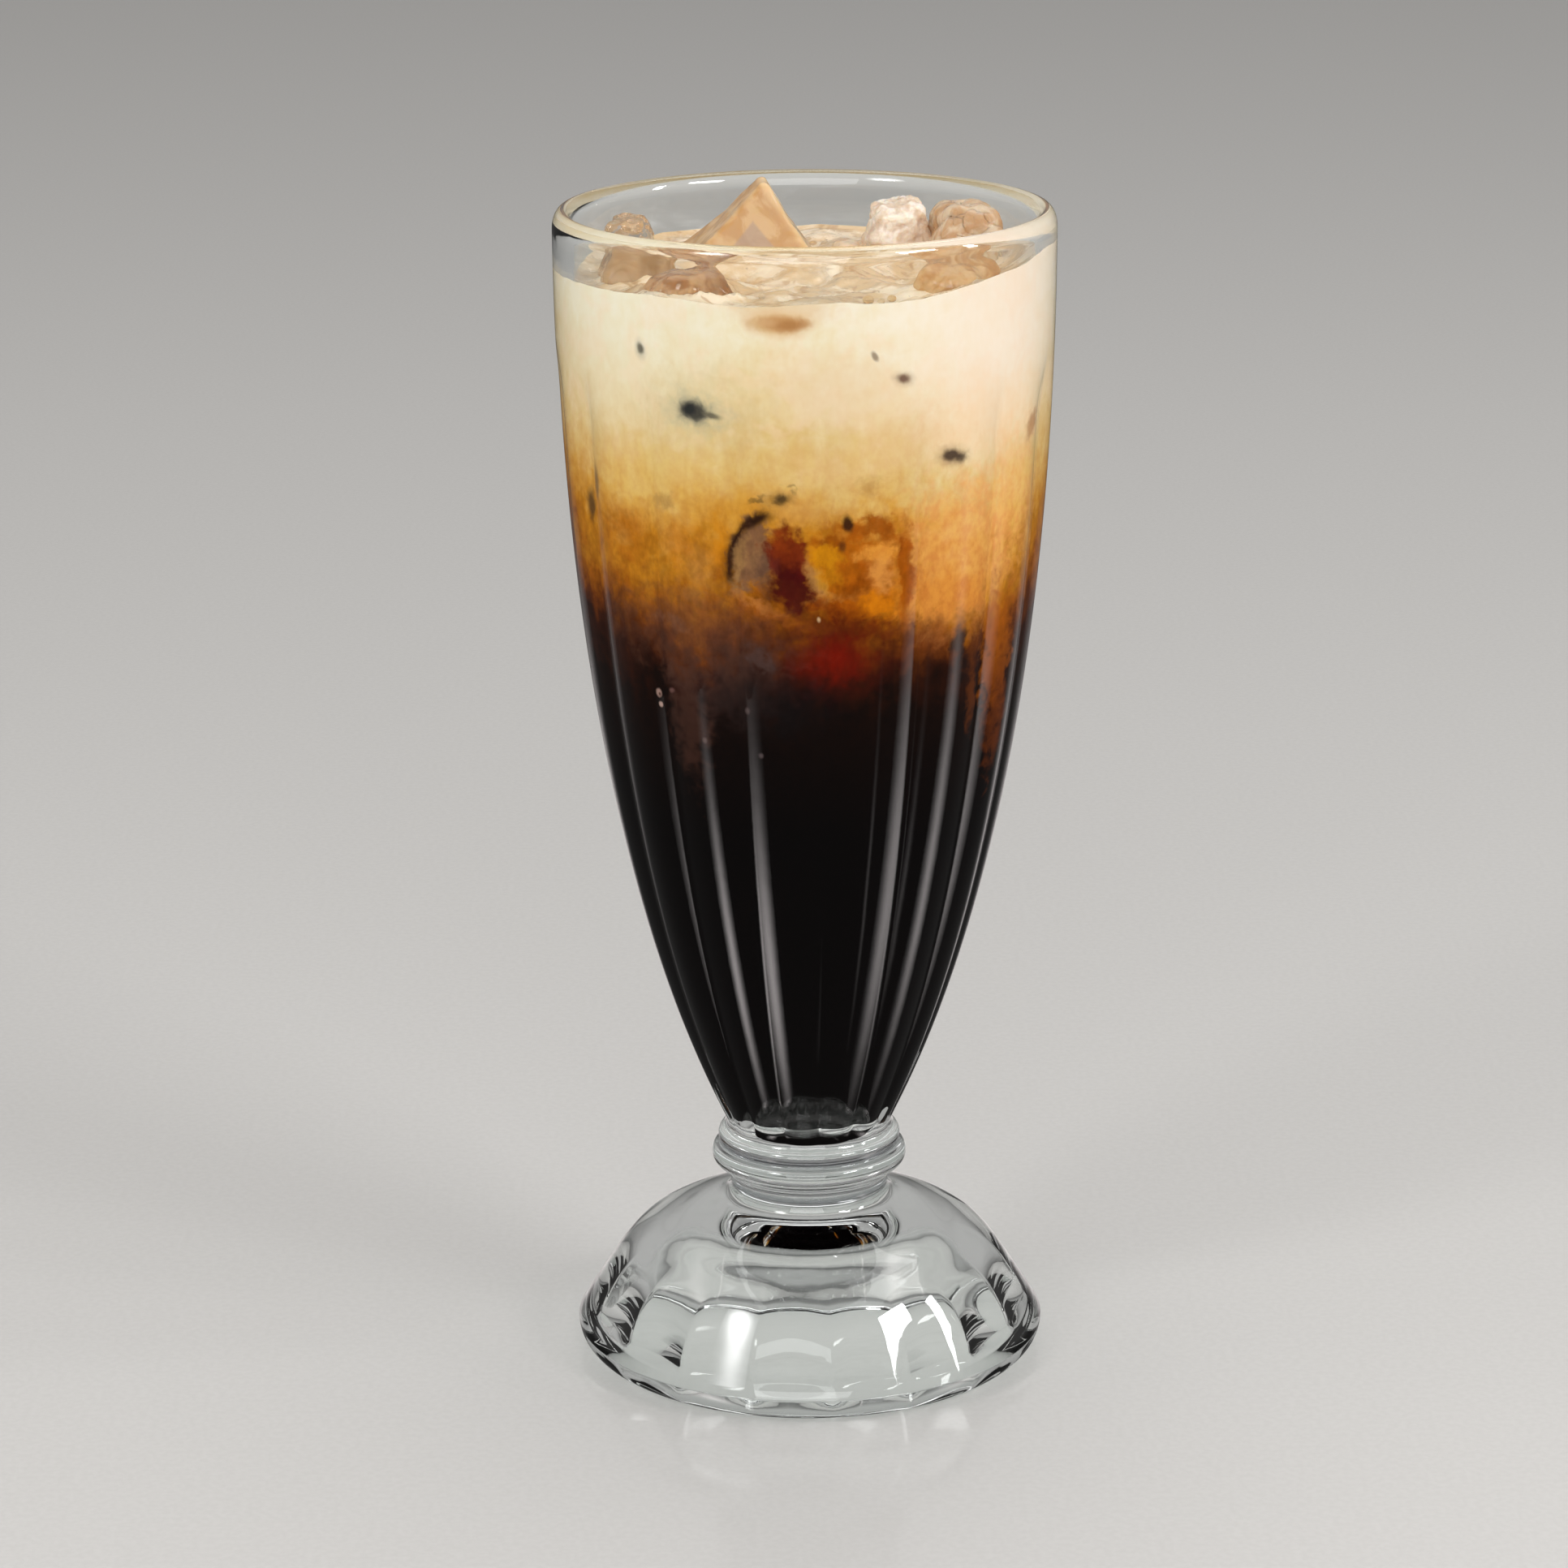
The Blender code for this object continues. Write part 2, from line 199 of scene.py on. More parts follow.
class Wiring:
    """Adds nodes to one shader tree and links them, so that a finish reads as a recipe."""

    def __init__(self, tree: bpy.types.NodeTree) -> None:
        """Takes the tree to work in."""
        self.tree = tree

    def feed(self, node: bpy.types.Node, values: Values) -> None:
        """Links or sets inputs of a node.

        Args:
            node: The node.
            values: For each input, by name or number, the output to link it to or the plain value it gets.
        """
        for label, value in values.items():
            socket = node.inputs[label]
            if isinstance(value, bpy.types.NodeSocket):
                self.tree.links.new(value, socket)
            elif socket.type == "RGBA" and len(value) == 3:
                socket.default_value = (*value, 1.0)
            else:
                socket.default_value = value

    def add(self, kind: str, values: Values | None = None, **settings: object) -> bpy.types.Node:
        """Adds a node.

        Args:
            kind: Its type, without the word ShaderNode.
            values: What goes into its inputs, as feed takes it.
            settings: Its own properties.

        Returns:
            The node.
        """
        node = self.tree.nodes.new("ShaderNode" + kind)
        for name, value in settings.items():
            setattr(node, name, value)
        self.feed(node, values or {})
        return node

    def group(self, name: str, values: Values) -> Sequence[object]:
        """The outputs of a node group, with its inputs fed."""
        return self.add("Group", values, node_tree=bpy.data.node_groups[name]).outputs

    def maths(self, operation: str, *terms: object, clamp: bool = False) -> object:
        """One Math node."""
        node = self.add("Math", dict(enumerate(terms)), operation=operation, use_clamp=clamp)
        return node.outputs[0]

    def plus(self, *terms: object) -> object:
        """The sum of its terms."""
        return reduce(lambda first, second: self.maths("ADD", first, second), terms)

    def minus(self, first: object, second: object) -> object:
        """The first value less the second."""
        return self.maths("SUBTRACT", first, second)

    def times(self, *factors: object) -> object:
        """The product of its factors."""
        return reduce(lambda first, second: self.maths("MULTIPLY", first, second), factors)

    def times_plus(self, first: object, second: object, third: object) -> object:
        """The product of two values, and a third one added."""
        return self.maths("MULTIPLY_ADD", first, second, third)

    def length(self, first: object, second: object) -> object:
        """The length of a line with the given run and rise."""
        return self.maths("SQRT", self.times_plus(first, first, self.times(second, second)))

    def mix(self, share: object, first: object, second: object, blend: str = "MIX") -> object:
        """Mixes two colours by a share."""
        values = {0: share, 6: first, 7: second}
        return self.add("Mix", values, data_type="RGBA", blend_type=blend).outputs[2]

    def ramp(self, share: object, stops: Sequence[tuple[float, Colour]]) -> object:
        """Turns a share into a colour along a row of stops.

        Args:
            share: The share.
            stops: The place and the colour of each stop, in order.

        Returns:
            The colour.
        """
        node = self.add("ValToRGB", {"Fac": share})
        elements = node.color_ramp.elements
        while len(elements) < len(stops):
            elements.new(0.5)
        for element, (place, colour) in zip(elements, stops):
            element.position = place
            element.color = (*colour, 1.0)
        return node.outputs["Color"]

    def span(self, value: object, low: object, high: object, to: Sequence[object] = (0.0, 1.0)) -> object:
        """Maps a value from a range to another with a smooth step, and holds it there."""
        ends = {"Value": value, "From Min": low, "From Max": high, "To Min": to[0], "To Max": to[1]}
        return self.add("MapRange", ends, interpolation_type="SMOOTHSTEP").outputs["Result"]

    def bell(self, value: object, centre: float, width: float) -> object:
        """A smooth hump of height 1 round a centre."""
        offset = self.times(self.minus(value, centre), 1.0 / width)
        return self.maths("POWER", math.exp(-1.0), self.times(offset, offset))

    def place_mm(self) -> object:
        """The point on the object in millimetres."""
        place = self.add("TexCoord").outputs["Object"]
        return self.add("VectorMath", {0: place, "Scale": 1.0 / MM}, operation="SCALE").outputs["Vector"]

    def split(self, place: object) -> Sequence[object]:
        """The three parts of a vector."""
        return self.add("SeparateXYZ", {0: place}).outputs

    def stretched(self, place: object, scale: Row, shift: Row = (0.0, 0.0, 0.0)) -> object:
        """A place scaled along each axis, for a drawn-out pattern."""
        values = {"Vector": place, "Scale": scale, "Location": shift}
        return self.add("Mapping", values, vector_type="POINT").outputs["Vector"]

    def on_wall(self, along: object, up: object) -> object:
        """A place on the wall as (along, up, 1)."""
        return self.add("CombineXYZ", {0: along, 1: up, 2: 1.0}).outputs["Vector"]

    def dot(self, first: object, second: object) -> object:
        """The dot product of two vectors."""
        return self.add("VectorMath", {0: first, 1: second}, operation="DOT_PRODUCT").outputs["Value"]

    def cloud(self, place: object, size_mm: float, detail: float = 3.0, twist: float = 0.0) -> object:
        """Soft noise between 0 and 1, with lumps of about the given size."""
        values = {"Vector": place, "Scale": 1.0 / size_mm, "Detail": detail, "Distortion": twist}
        return self.add("TexNoise", values | {"Roughness": 0.55}).outputs["Fac"]

    def drift(self, place: object, size_mm: float) -> Sequence[object]:
        """Two unlike soft noises from -0.5 to 0.5, to push a pattern sideways and up."""
        push = self.add("TexNoise", {"Vector": place, "Scale": 1 / size_mm, "Detail": 2.0}).outputs["Color"]
        return [self.minus(part, 0.5) for part in self.add("SeparateColor", {0: push}).outputs[:2]]

    def relief(self, height: object, depth_mm: float, strength: float) -> object:
        """A Bump node's normal, for a height between 0 and 1."""
        values = {"Height": height, "Distance": depth_mm * MM, "Strength": strength}
        return self.add("Bump", values).outputs["Normal"]

    def let_light_through(self, shader: bpy.types.Node, tint: object, shaded: bool) -> None:
        """Lets light on its way to something else pass this surface unbent.

        Args:
            shader: The surface's own shader.
            tint: The share of each colour that passes.
            shaded: Whether light that other surfaces scatter passes too.
        """
        path = self.add("LightPath").outputs
        unbent = path["Is Shadow Ray"]
        if shaded:
            unbent = self.maths("MAXIMUM", unbent, path["Is Diffuse Ray"])
        through = self.add("BsdfTransparent", {"Color": tint}).outputs["BSDF"]
        mixed = self.add("MixShader", {"Fac": unbent, 1: shader.outputs["BSDF"], 2: through})
        self.feed(self.tree.nodes["Material Output"], {"Surface": mixed.outputs["Shader"]})


def new_group(
    name: str, inputs: dict[str, str], outputs: dict[str, str]
) -> tuple[Wiring, Sequence[object], bpy.types.Node]:
    """A shader node group with named sockets.

    Args:
        name: The group's name.
        inputs: The socket type of each value that goes in.
        outputs: The socket type of each result.

    Returns:
        Its wiring, the values that go in, and the node that takes the results.
    """
    group = bpy.data.node_groups.new(name, "ShaderNodeTree")
    for side, sockets in (("INPUT", inputs), ("OUTPUT", outputs)):
        for label, kind in sockets.items():
            group.interface.new_socket(name=label, in_out=side, socket_type=kind)
    given = group.nodes.new("NodeGroupInput").outputs
    return Wiring(group), given, group.nodes.new("NodeGroupOutput")


def new_finish(name: str) -> tuple[bpy.types.Material, Wiring, bpy.types.Node]:
    """An empty material with a Principled shader.

    Args:
        name: The material's name.

    Returns:
        The material, its wiring and its shader.
    """
    material = bpy.data.materials.new(name)
    material.use_nodes = True
    return material, Wiring(material.node_tree), material.node_tree.nodes["Principled BSDF"]


class BlotGroup:
    """A node group that gives the mask of one blot on the glass's wall: an uneven ellipse."""

    NAME = "wall_blot"
    MM_PER_DEGREE = 0.66

    def build(self) -> None:
        """Makes the group. Along and Over are the rows that Blot.rows gives."""
        numbers = dict.fromkeys(("Ripple", "Softness", "Wobble", "Strength"), NUMBER)
        inputs = dict.fromkeys(("Place", "Along", "Over"), VECTOR) | numbers
        wires, given, result = new_group(self.NAME, inputs, {"Mask": NUMBER})
        reach = wires.length(*(wires.dot(given["Place"], given[label]) for label in ("Over", "Along")))
        reach = wires.times_plus(given["Ripple"], given["Wobble"], reach)
        inner = wires.minus(1.0, given["Softness"])
        outer = wires.plus(1.0, given["Softness"])
        wires.feed(result, {"Mask": wires.span(reach, inner, outer, (given["Strength"], 0.0))})


@dataclass(frozen=True)
class Blot:
    """One patch that shows on the drink's wall, where ice or a wisp touches the glass.

    screen is its colour as a screen shows it, azimuth and height_mm its middle, wide_mm and high_mm its
    half sizes, turn its slant in degrees, strength how much it covers, softness how soft its edge is,
    wobble how uneven, and steady whether the swirls leave it where it is.
    """

    screen: tuple[int, int, int]
    azimuth: float
    height_mm: float
    wide_mm: float
    high_mm: float
    turn: float = 0.0
    strength: float = 0.8
    softness: float = 0.3
    wobble: float = 0.9
    steady: bool = False

    def rows(self) -> tuple[Row, Row]:
        """Works out how a place on the wall, as (mm along, mm up, 1), lies to the blot.

        Returns:
            Two rows whose dot products with the place are its shares of the half sizes.
        """
        x, y = self.azimuth * BlotGroup.MM_PER_DEGREE, self.height_mm
        cos, sin = math.cos(math.radians(self.turn)), math.sin(math.radians(self.turn))
        along = (cos / self.wide_mm, sin / self.wide_mm, -(x * cos + y * sin) / self.wide_mm)
        over = (-sin / self.high_mm, cos / self.high_mm, (x * sin - y * cos) / self.high_mm)
        return along, over


SPECK = (62, 58, 52)

WALL_BLOTS: tuple[Blot, ...] = tuple(Blot(*row) for row in (
    # Clouds: pale on the right, yellow on the left, orange beside the cube
    ((234, 154, 80), 42, 142, 13, 11, 0, 0.6, 0.5, 1.4),
    ((216, 134, 52), 38, 135.4, 8.5, 3.4, -4, 0.65, 0.4, 1.8),
    ((244, 176, 98), 60, 150, 8, 9, 0, 0.5, 0.7, 1.6),
    ((250, 210, 172), 50, 163, 12, 6, 0, 0.5, 0.7, 1.4),
    ((238, 208, 176), 8, 170, 9, 5, 0, 0.5, 0.7, 1.6),
    ((226, 180, 122), 22, 161, 7, 4, 10, 0.45, 0.8, 1.8),
    ((230, 186, 124), 4, 157, 5, 3, -10, 0.4, 0.8, 1.8),
    ((214, 190, 140), -26, 166, 9, 6, 0, 0.45, 0.7, 1.6),
    ((228, 186, 104), -38, 155, 12, 5, 0, 0.45, 0.7, 1.6),
    ((210, 142, 40), -14, 150, 10, 4, 4, 0.45, 0.8, 1.8),
    ((178, 96, 10), -33, 145, 3.4, 3.2, 10, 0.45, 0.8, 2),
    ((160, 84, 14), -50, 145, 4, 4, 0, 0.55, 0.8, 1.8),
    ((188, 132, 70), -27, 141, 3, 3.6, -20, 0.35, 0.8, 2.2),
    ((196, 116, 6), -21.5, 145.5, 1.6, 4, 8, 0.55, 0.7, 1.8),
    # Golden cube of ice and what surrounds it
    ((178, 98, 12), 12, 147.6, 6.6, 2, 2, 0.65, 0.5, 2),
    ((166, 82, 5), 12.8, 140.2, 10, 7.6, -4, 0.85, 0.25, 1.1),
    ((204, 130, 12), 5, 143.8, 2.9, 2.1, -8, 0.9, 0.5, 1.8),
    ((196, 124, 14), 6.6, 140.6, 2.2, 2.4, 0, 0.6, 0.6, 2),
    ((168, 118, 62), 1.4, 139.8, 1.1, 3.9, 21, 0.8, 0.7, 1.2),
    ((196, 138, 44), 3.6, 139.4, 0.7, 3, 18, 0.55, 0.8, 1.6),
    ((224, 146, 56), 18, 143.8, 2.9, 1.7, -6, 0.85, 0.5, 2),
    ((216, 142, 66), 18.6, 140.2, 1.8, 2.8, 6, 0.7, 0.6, 2.2),
    ((206, 116, 10), 18.4, 135.6, 3.2, 2.2, -14, 0.85, 0.5, 1.8),
    ((212, 150, 70), 8, 137.2, 4.4, 0.6, 6, 0.35, 0.8, 2.4),
    ((138, 66, 3), 12, 138.5, 3.3, 1.6, 6, 0.9, 0.6, 2.4),
    ((150, 70, 4), 15, 142, 1, 1.4, -30, 0.6, 0.7, 2.4),
    ((124, 52, 2), 7.6, 135, 4.2, 1.5, -8, 0.8, 0.6, 2.2),
    ((98, 32, 3), 9, 131.8, 8.6, 1.9, -2, 0.8, 0.6, 2.2),
    ((160, 78, 4), 24.9, 140.2, 1.5, 7.4, 3, 0.9, 0.5, 1.2),
    ((140, 62, 3), 22.6, 144.6, 0.9, 1.6, 10, 0.75, 0.6, 1.8),
    ((146, 70, 5), 5.4, 146.6, 3, 0.9, 4, 0.75, 0.6, 1.8),
    ((206, 132, 40), 22.2, 139.8, 0.5, 5.4, 3, 0.4, 0.8, 1.6),
    ((206, 148, 76), -1, 150.6, 4.4, 1.5, 0, 0.55, 0.8, 2),
    # Cube behind it, on the left: grey face, red-brown face, dark hollow
    ((122, 84, 58), -13.4, 143.8, 3.9, 5.6, -10, 0.95, 0.25, 1),
    ((158, 116, 68), -16.4, 142.6, 1.1, 3.8, -14, 0.75, 0.6, 2),
    ((148, 106, 66), -11.6, 144.4, 0.6, 3, -24, 0.5, 0.7, 2.4),
    ((96, 66, 52), -10, 141, 1.6, 3.2, -6, 0.6, 0.7, 2),
    ((106, 30, 8), -5, 143.8, 3.4, 4.6, 12, 0.95, 0.3, 1.2),
    ((138, 54, 10), -6.4, 146.4, 1, 1.8, 20, 0.6, 0.7, 2.2),
    ((86, 34, 28), -7.6, 141.4, 1, 2.4, 10, 0.55, 0.7, 2),
    ((66, 8, 8), -3.6, 138.8, 2.7, 3.9, 28, 0.95, 0.4, 1.2),
    ((54, 30, 16), -12.2, 149.4, 1.9, 0.8, 34, 0.85, 0.6, 2, True),
    # Wisp of milk below both, the dark under its left end, and a painted highlight at its right end
    ((40, 16, 6), -56, 128.6, 5, 4.6, 0, 0.6, 0.8, 2.2),
    ((150, 78, 24), -8.5, 134.2, 8.5, 1, -15, 0.5, 0.7, 2),
    ((190, 118, 56), -12.5, 136.2, 3.8, 0.7, -22, 0.5, 0.7, 2),
    # A tiny pale dot at the wisp's right end: painted highlight.
    ((222, 180, 130), 2.8, 133.5, 0.28, 0.42, 10, 0.8, 0.6, 1, True),
    # Red glow and brown veil
    ((66, 14, 4), 7, 127, 9.4, 5.4, 3, 0.8, 0.7, 1.4),
    ((118, 18, 2), 6.2, 127, 5, 3, 3, 0.8, 0.95, 1.2),
    ((94, 58, 42), -30, 130.5, 14, 6, -6, 0.5, 0.7, 2.4),
    ((60, 42, 38), -20, 122.5, 9, 5, 10, 0.45, 0.7, 2.6),
    ((72, 44, 34), -34, 117, 3.2, 9, 4, 0.55, 0.7, 2.6),
    ((12, 10, 11), -6, 119.5, 8, 4, 0, 0.6, 0.8, 2),
    ((116, 80, 62), -36, 131.5, 3.4, 1, -20, 0.35, 0.8, 2.6),
    ((80, 66, 64), -12, 127, 1.2, 2.2, 30, 0.35, 0.8, 3),
    # Amber shreds that sink down the right wall
    ((156, 80, 12), 60, 126, 4, 8.6, 8, 0.85, 0.6, 2.6),
    ((104, 46, 8), 63, 115, 3, 9, 10, 0.65, 0.6, 2.6),
    ((120, 56, 8), 50, 118, 1.2, 4.6, 6, 0.4, 0.7, 2.8),
    ((120, 58, 20), 34, 128.6, 4.4, 2.6, -8, 0.55, 0.7, 2.6),
    ((22, 12, 10), 44, 125.6, 1.7, 4.4, 8, 0.9, 0.6, 2),
    # Small bubbles on the wall
    ((176, 140, 128), -44.2, 119.2, 0.55, 0.62, 0, 0.75, 0.5, 1.2, True),
    ((64, 34, 26), -44, 119, 0.26, 0.28, 0, 0.8, 0.5, 0.6, True),
    ((192, 158, 146), -44, 117.3, 0.42, 0.44, 0, 0.8, 0.5, 1, True),
    ((122, 84, 78), -38.3, 120.2, 0.7, 0.4, 10, 0.6, 0.6, 1.4, True),
    ((96, 78, 76), -15.9, 118.2, 0.5, 0.5, 0, 0.6, 0.6, 1.2, True),
    ((104, 84, 80), -29.4, 112.6, 0.4, 0.45, 0, 0.6, 0.6, 1.2, True),
    ((96, 82, 82), -12.5, 110.8, 0.4, 0.4, 0, 0.6, 0.6, 1.2, True),
    # Dark corners of ice against the wall
    ((186, 176, 146), -26.4, 165.8, 4.6, 2.6, -6, 0.6, 0.7, 1.6),
    ((96, 98, 92), -27, 166, 2.4, 1.7, -4, 0.7, 0.6, 1.4, True),
    (SPECK, -27.2, 166, 1.9, 1.2, -4, 0.92, 0.5, 1.5, True),
    (SPECK, -22.8, 165.6, 1.7, 0.5, -10, 0.75, 0.6, 1.2, True),
    ((36, 38, 40), -28.4, 166.2, 1, 0.8, 20, 0.8, 0.6, 1.5, True),
    ((140, 138, 118), -41.7, 174.7, 1, 1.4, 14, 0.45, 0.7, 1, True),
    (SPECK, -41.7, 174.9, 0.6, 0.85, 24, 0.8, 0.6, 1, True),
    ((120, 96, 76), 16.3, 174.9, 0.4, 0.75, 30, 0.75, 0.6, 0.8, True),
    ((164, 128, 100), 23.4, 171.2, 1.5, 1, -12, 0.5, 0.7, 1, True),
    ((100, 66, 54), 23.4, 171.2, 1, 0.65, -12, 0.85, 0.6, 1, True),
    ((140, 104, 72), 37.9, 158.1, 2.6, 1.5, -8, 0.55, 0.7, 1.2, True),
    ((66, 50, 42), 38, 158.2, 1.9, 0.95, -8, 0.92, 0.5, 1.5, True),
    ((50, 38, 34), 40.4, 157.7, 1, 0.8, 10, 0.75, 0.6, 1.5, True),
    ((176, 120, 76), 67.5, 160.1, 1.4, 2.4, -32, 0.7, 0.6, 1.2),
    ((168, 128, 72), -36.5, 151.3, 1.9, 1.1, 0, 0.55, 0.7, 2.4),
    (SPECK, -61.2, 151.8, 0.8, 2.4, 0, 0.6, 0.7, 1.2, True),
    ((74, 50, 30), -66.8, 147.4, 1.4, 2.4, -10, 0.85, 0.6, 1.4, True),
    ((96, 74, 44), -7, 152.8, 2.1, 1.2, 10, 0.45, 0.7, 1.6, True),
    ((58, 42, 24), -6.2, 152.8, 1.2, 0.75, 20, 0.85, 0.6, 1.8, True),
    ((86, 66, 36), -11, 152.6, 1.6, 0.45, 34, 0.6, 0.7, 2.8),
    ((90, 70, 40), -4, 154.6, 0.8, 0.4, -30, 0.5, 0.7, 2.8),
    ((48, 22, 10), 10.5, 148.8, 0.85, 1.3, 12, 0.95, 0.5, 1.4, True),
    ((92, 46, 14), 9.2, 145.2, 0.55, 0.9, 0, 0.8, 0.7, 1.4, True),
    ((146, 70, 6), 17.4, 148.4, 2.3, 2, 0, 0.85, 0.5, 1.8),
    ((170, 116, 52), 15, 154.6, 1.6, 1.2, 14, 0.45, 0.8, 2.4),
    # Brown hollow just under the milk's edge, with a cream band above it that is a painted highlight
    ((232, 200, 160), -5.8, 182.6, 7.6, 3, 0, 0.8, 0.4, 0.8, True),
    ((226, 184, 132), -6, 180, 5.2, 1.9, 0, 0.7, 0.5, 0.7, True),
    ((196, 142, 88), -5.6, 180.1, 4.2, 1.25, 0, 0.85, 0.45, 0.7, True),
    ((166, 108, 58), -3.4, 180, 2.4, 0.8, 4, 0.6, 0.7, 1.2, True),
    ((216, 172, 126), -9.4, 180.3, 1.6, 0.6, 0, 0.55, 0.7, 1, True),
    # The far side
    ((204, 138, 52), 128, 140, 10, 7, 10, 0.7, 0.4, 2),
    ((116, 58, 20), 104, 137, 6.5, 7, -10, 0.8, 0.4, 2),
    ((184, 106, 30), -140, 139, 11, 7.5, -6, 0.75, 0.4, 2),
    ((96, 42, 16), -118, 134, 7, 6, 12, 0.8, 0.4, 2),
    (SPECK, 112, 166, 1.8, 1.1, 10, 0.85, 0.5, 2),
    (SPECK, 156, 158, 1.4, 1, -20, 0.8, 0.5, 2),
    (SPECK, -108, 170, 1, 1.5, 8, 0.8, 0.5, 2),
    ((84, 58, 40), -132, 160, 2.2, 1.2, 14, 0.85, 0.5, 2),
    ((92, 70, 52), -160, 152, 1.5, 1, 0, 0.75, 0.5, 2),
))


class MarblingGroup:
    """A node group that gives the drink's colour on the wall: coffee below, milk above, and how they mix.

    Its constants are heights in millimetres, azimuths in degrees and sizes in millimetres. A pair with an
    azimuth or a height is the middle and the spread of a bell.
    """

    NAME = "drink_marbling"
    LOWEST = 95.0
    HIGHEST = 190.0

    # Height on the wall, and the share of milk there
    MILK_BY_HEIGHT = (
        (98, 0.0), (106, 0.02), (112, 0.04), (118, 0.08), (123, 0.13), (127, 0.19), (131, 0.28),
        (135, 0.37), (140, 0.44), (145, 0.5), (149, 0.57), (153, 0.645), (158, 0.72), (163, 0.77),
        (168, 0.815), (173, 0.87), (179, 0.94), (185, 0.98),
    )

    # Share of milk, and the colour of that blend
    BLENDS = (
        (0.00, tone(4, 2, 2)), (0.08, tone(18, 6, 3)), (0.17, tone(44, 16, 5)), (0.28, tone(92, 42, 7)),
        (0.40, tone(146, 80, 10)), (0.52, tone(186, 119, 26)), (0.62, tone(208, 150, 66)),
        (0.74, tone(223, 184, 116)), (0.84, tone(235, 207, 156)), (0.93, tone(242, 225, 191)),
        (1.00, tone(248, 236, 215)),
    )

    # Where the layers are raised or lowered, and how far in millimetres
    RIGHT_BEND, RIGHT_ZONE, RIGHT_RISE = (50.0, 26.0), (122.0, 136.0), (2.0, 8.5)
    LEFT_BEND, LEFT_RISE = (-36.0, 26.0), 2.0
    SIDE_BEND, SIDE_RISE = (-88.0, 18.0), -4.0
    SLOW_WAVE, SLOW_RISE = 34.0, 7.0
    SWIRL, SWIRL_RISE, SWIRL_ZONE = 11.0, 24.0, (138.0, 15.0)
    SINKING, SINKING_RISE, SINKING_ZONE = 4.2, 17.0, (126.0, 15.0)

    # Tints of the milk on each side and in patches: azimuth, share and colour
    LEFT_TINT = ((-52.0, 30.0), 0.50, tone(242, 232, 206))
    RIGHT_TINT = ((54.0, 32.0), 0.80, tone(252, 229, 209))
    ROSY_SHARE, ROSY = 0.22, tone(250, 214, 184)

    # The dark, bent edge of the left cube: its circle's middle, as mm along and up, and its radius and width
    CRESCENT_MIDDLE = (-4.0, 141.3)
    CRESCENT_LINE = (9.05, 0.85)
    CRESCENT = tone(44, 22, 10)

    def build(self) -> None:
        """Makes the group."""
        self.wires, _, result = new_group(self.NAME, {}, {"Color": COLOUR})
        wires = self.wires
        self.place = wires.place_mm()
        x, y, self.z = wires.split(self.place)
        self.azimuth = wires.times(wires.maths("ARCTAN2", x, wires.times(y, -1.0)), 180.0 / math.pi)
        self.ripple = wires.minus(wires.cloud(self.place, 2.2, 4.0, 0.5), 0.5)
        reach = self.HIGHEST - self.LOWEST
        level = wires.maths("DIVIDE", wires.minus(self.calm_height(), self.LOWEST), reach)
        stops = [((height - self.LOWEST) / reach, (part,) * 3) for height, part in self.MILK_BY_HEIGHT]
        milk = wires.maths("ADD", wires.ramp(level, stops), self.grain(), clamp=True)
        colour = self.tints(wires.ramp(milk, self.BLENDS))
        colour = self.crescent(self.blots(colour))
        wires.feed(result, {"Color": self.mottle(colour)})

    def calm_height(self) -> object:
        """Finds the height at which a calm drink would have this point's blend.

        Returns:
            The real height, bent by slow waves, swirls and threads of milk that sink.
        """
        wires, place, z, azimuth = self.wires, self.place, self.z, self.azimuth
        right = wires.span(z, *self.RIGHT_ZONE, self.RIGHT_RISE)
        right = wires.times(wires.bell(azimuth, *self.RIGHT_BEND), right)
        left = wires.times(wires.bell(azimuth, *self.LEFT_BEND), self.LEFT_RISE)
        side = wires.times(wires.bell(azimuth, *self.SIDE_BEND), self.SIDE_RISE)
        slow = wires.minus(wires.cloud(wires.stretched(place, (1.0, 1.0, 0.2)), self.SLOW_WAVE, 1.0), 0.5)
        swirl = wires.minus(wires.cloud(place, self.SWIRL, 4.0, 0.7), 0.5)
        busy = wires.plus(wires.bell(z, *self.SWIRL_ZONE), 0.14)
        threads = wires.stretched(place, (1.0, 1.0, 0.16), (3.0, 0.0, 7.0))
        sinking = wires.minus(wires.cloud(threads, self.SINKING, 3.0, 0.2), 0.5)
        low = wires.bell(z, *self.SINKING_ZONE)
        slow, swirl = wires.times(slow, self.SLOW_RISE), wires.times(swirl, busy, self.SWIRL_RISE)
        return wires.plus(z, right, left, side, slow, swirl, wires.times(sinking, low, self.SINKING_RISE))

    def grain(self) -> object:
        """Gives the fine unevenness of the blend: curds of milk and small threads.

        Returns:
            What it adds to the share of milk.
        """
        wires = self.wires
        curds = wires.minus(wires.cloud(self.place, 3.0, 5.0, 0.3), 0.5)
        fall = wires.cloud(wires.stretched(self.place, (1.0, 1.0, 0.22), (11.0, 5.0, 0.0)), 1.6, 3.0)
        both = wires.plus(wires.times(curds, 0.20), wires.times(wires.minus(fall, 0.5), 0.08))
        return wires.times(both, wires.span(self.z, 104.0, 128.0))

    def tints(self, colour: object) -> object:
        """Makes the milk cooler on the left and rosier on the right and in patches.

        Args:
            colour: The blend's colour.

        Returns:
            The tinted colour.
        """
        wires = self.wires
        high = wires.span(self.z, 152.0, 174.0)
        for side, share, tint in (self.LEFT_TINT, self.RIGHT_TINT):
            colour = wires.mix(wires.times(wires.bell(self.azimuth, *side), high, share), colour, tint)
        rosy = wires.span(wires.cloud(self.place, 7.0, 3.0, 0.6), 0.48, 0.62)
        rosy = wires.times(rosy, wires.span(self.z, 152.0, 166.0), self.ROSY_SHARE)
        return wires.mix(rosy, colour, self.ROSY)

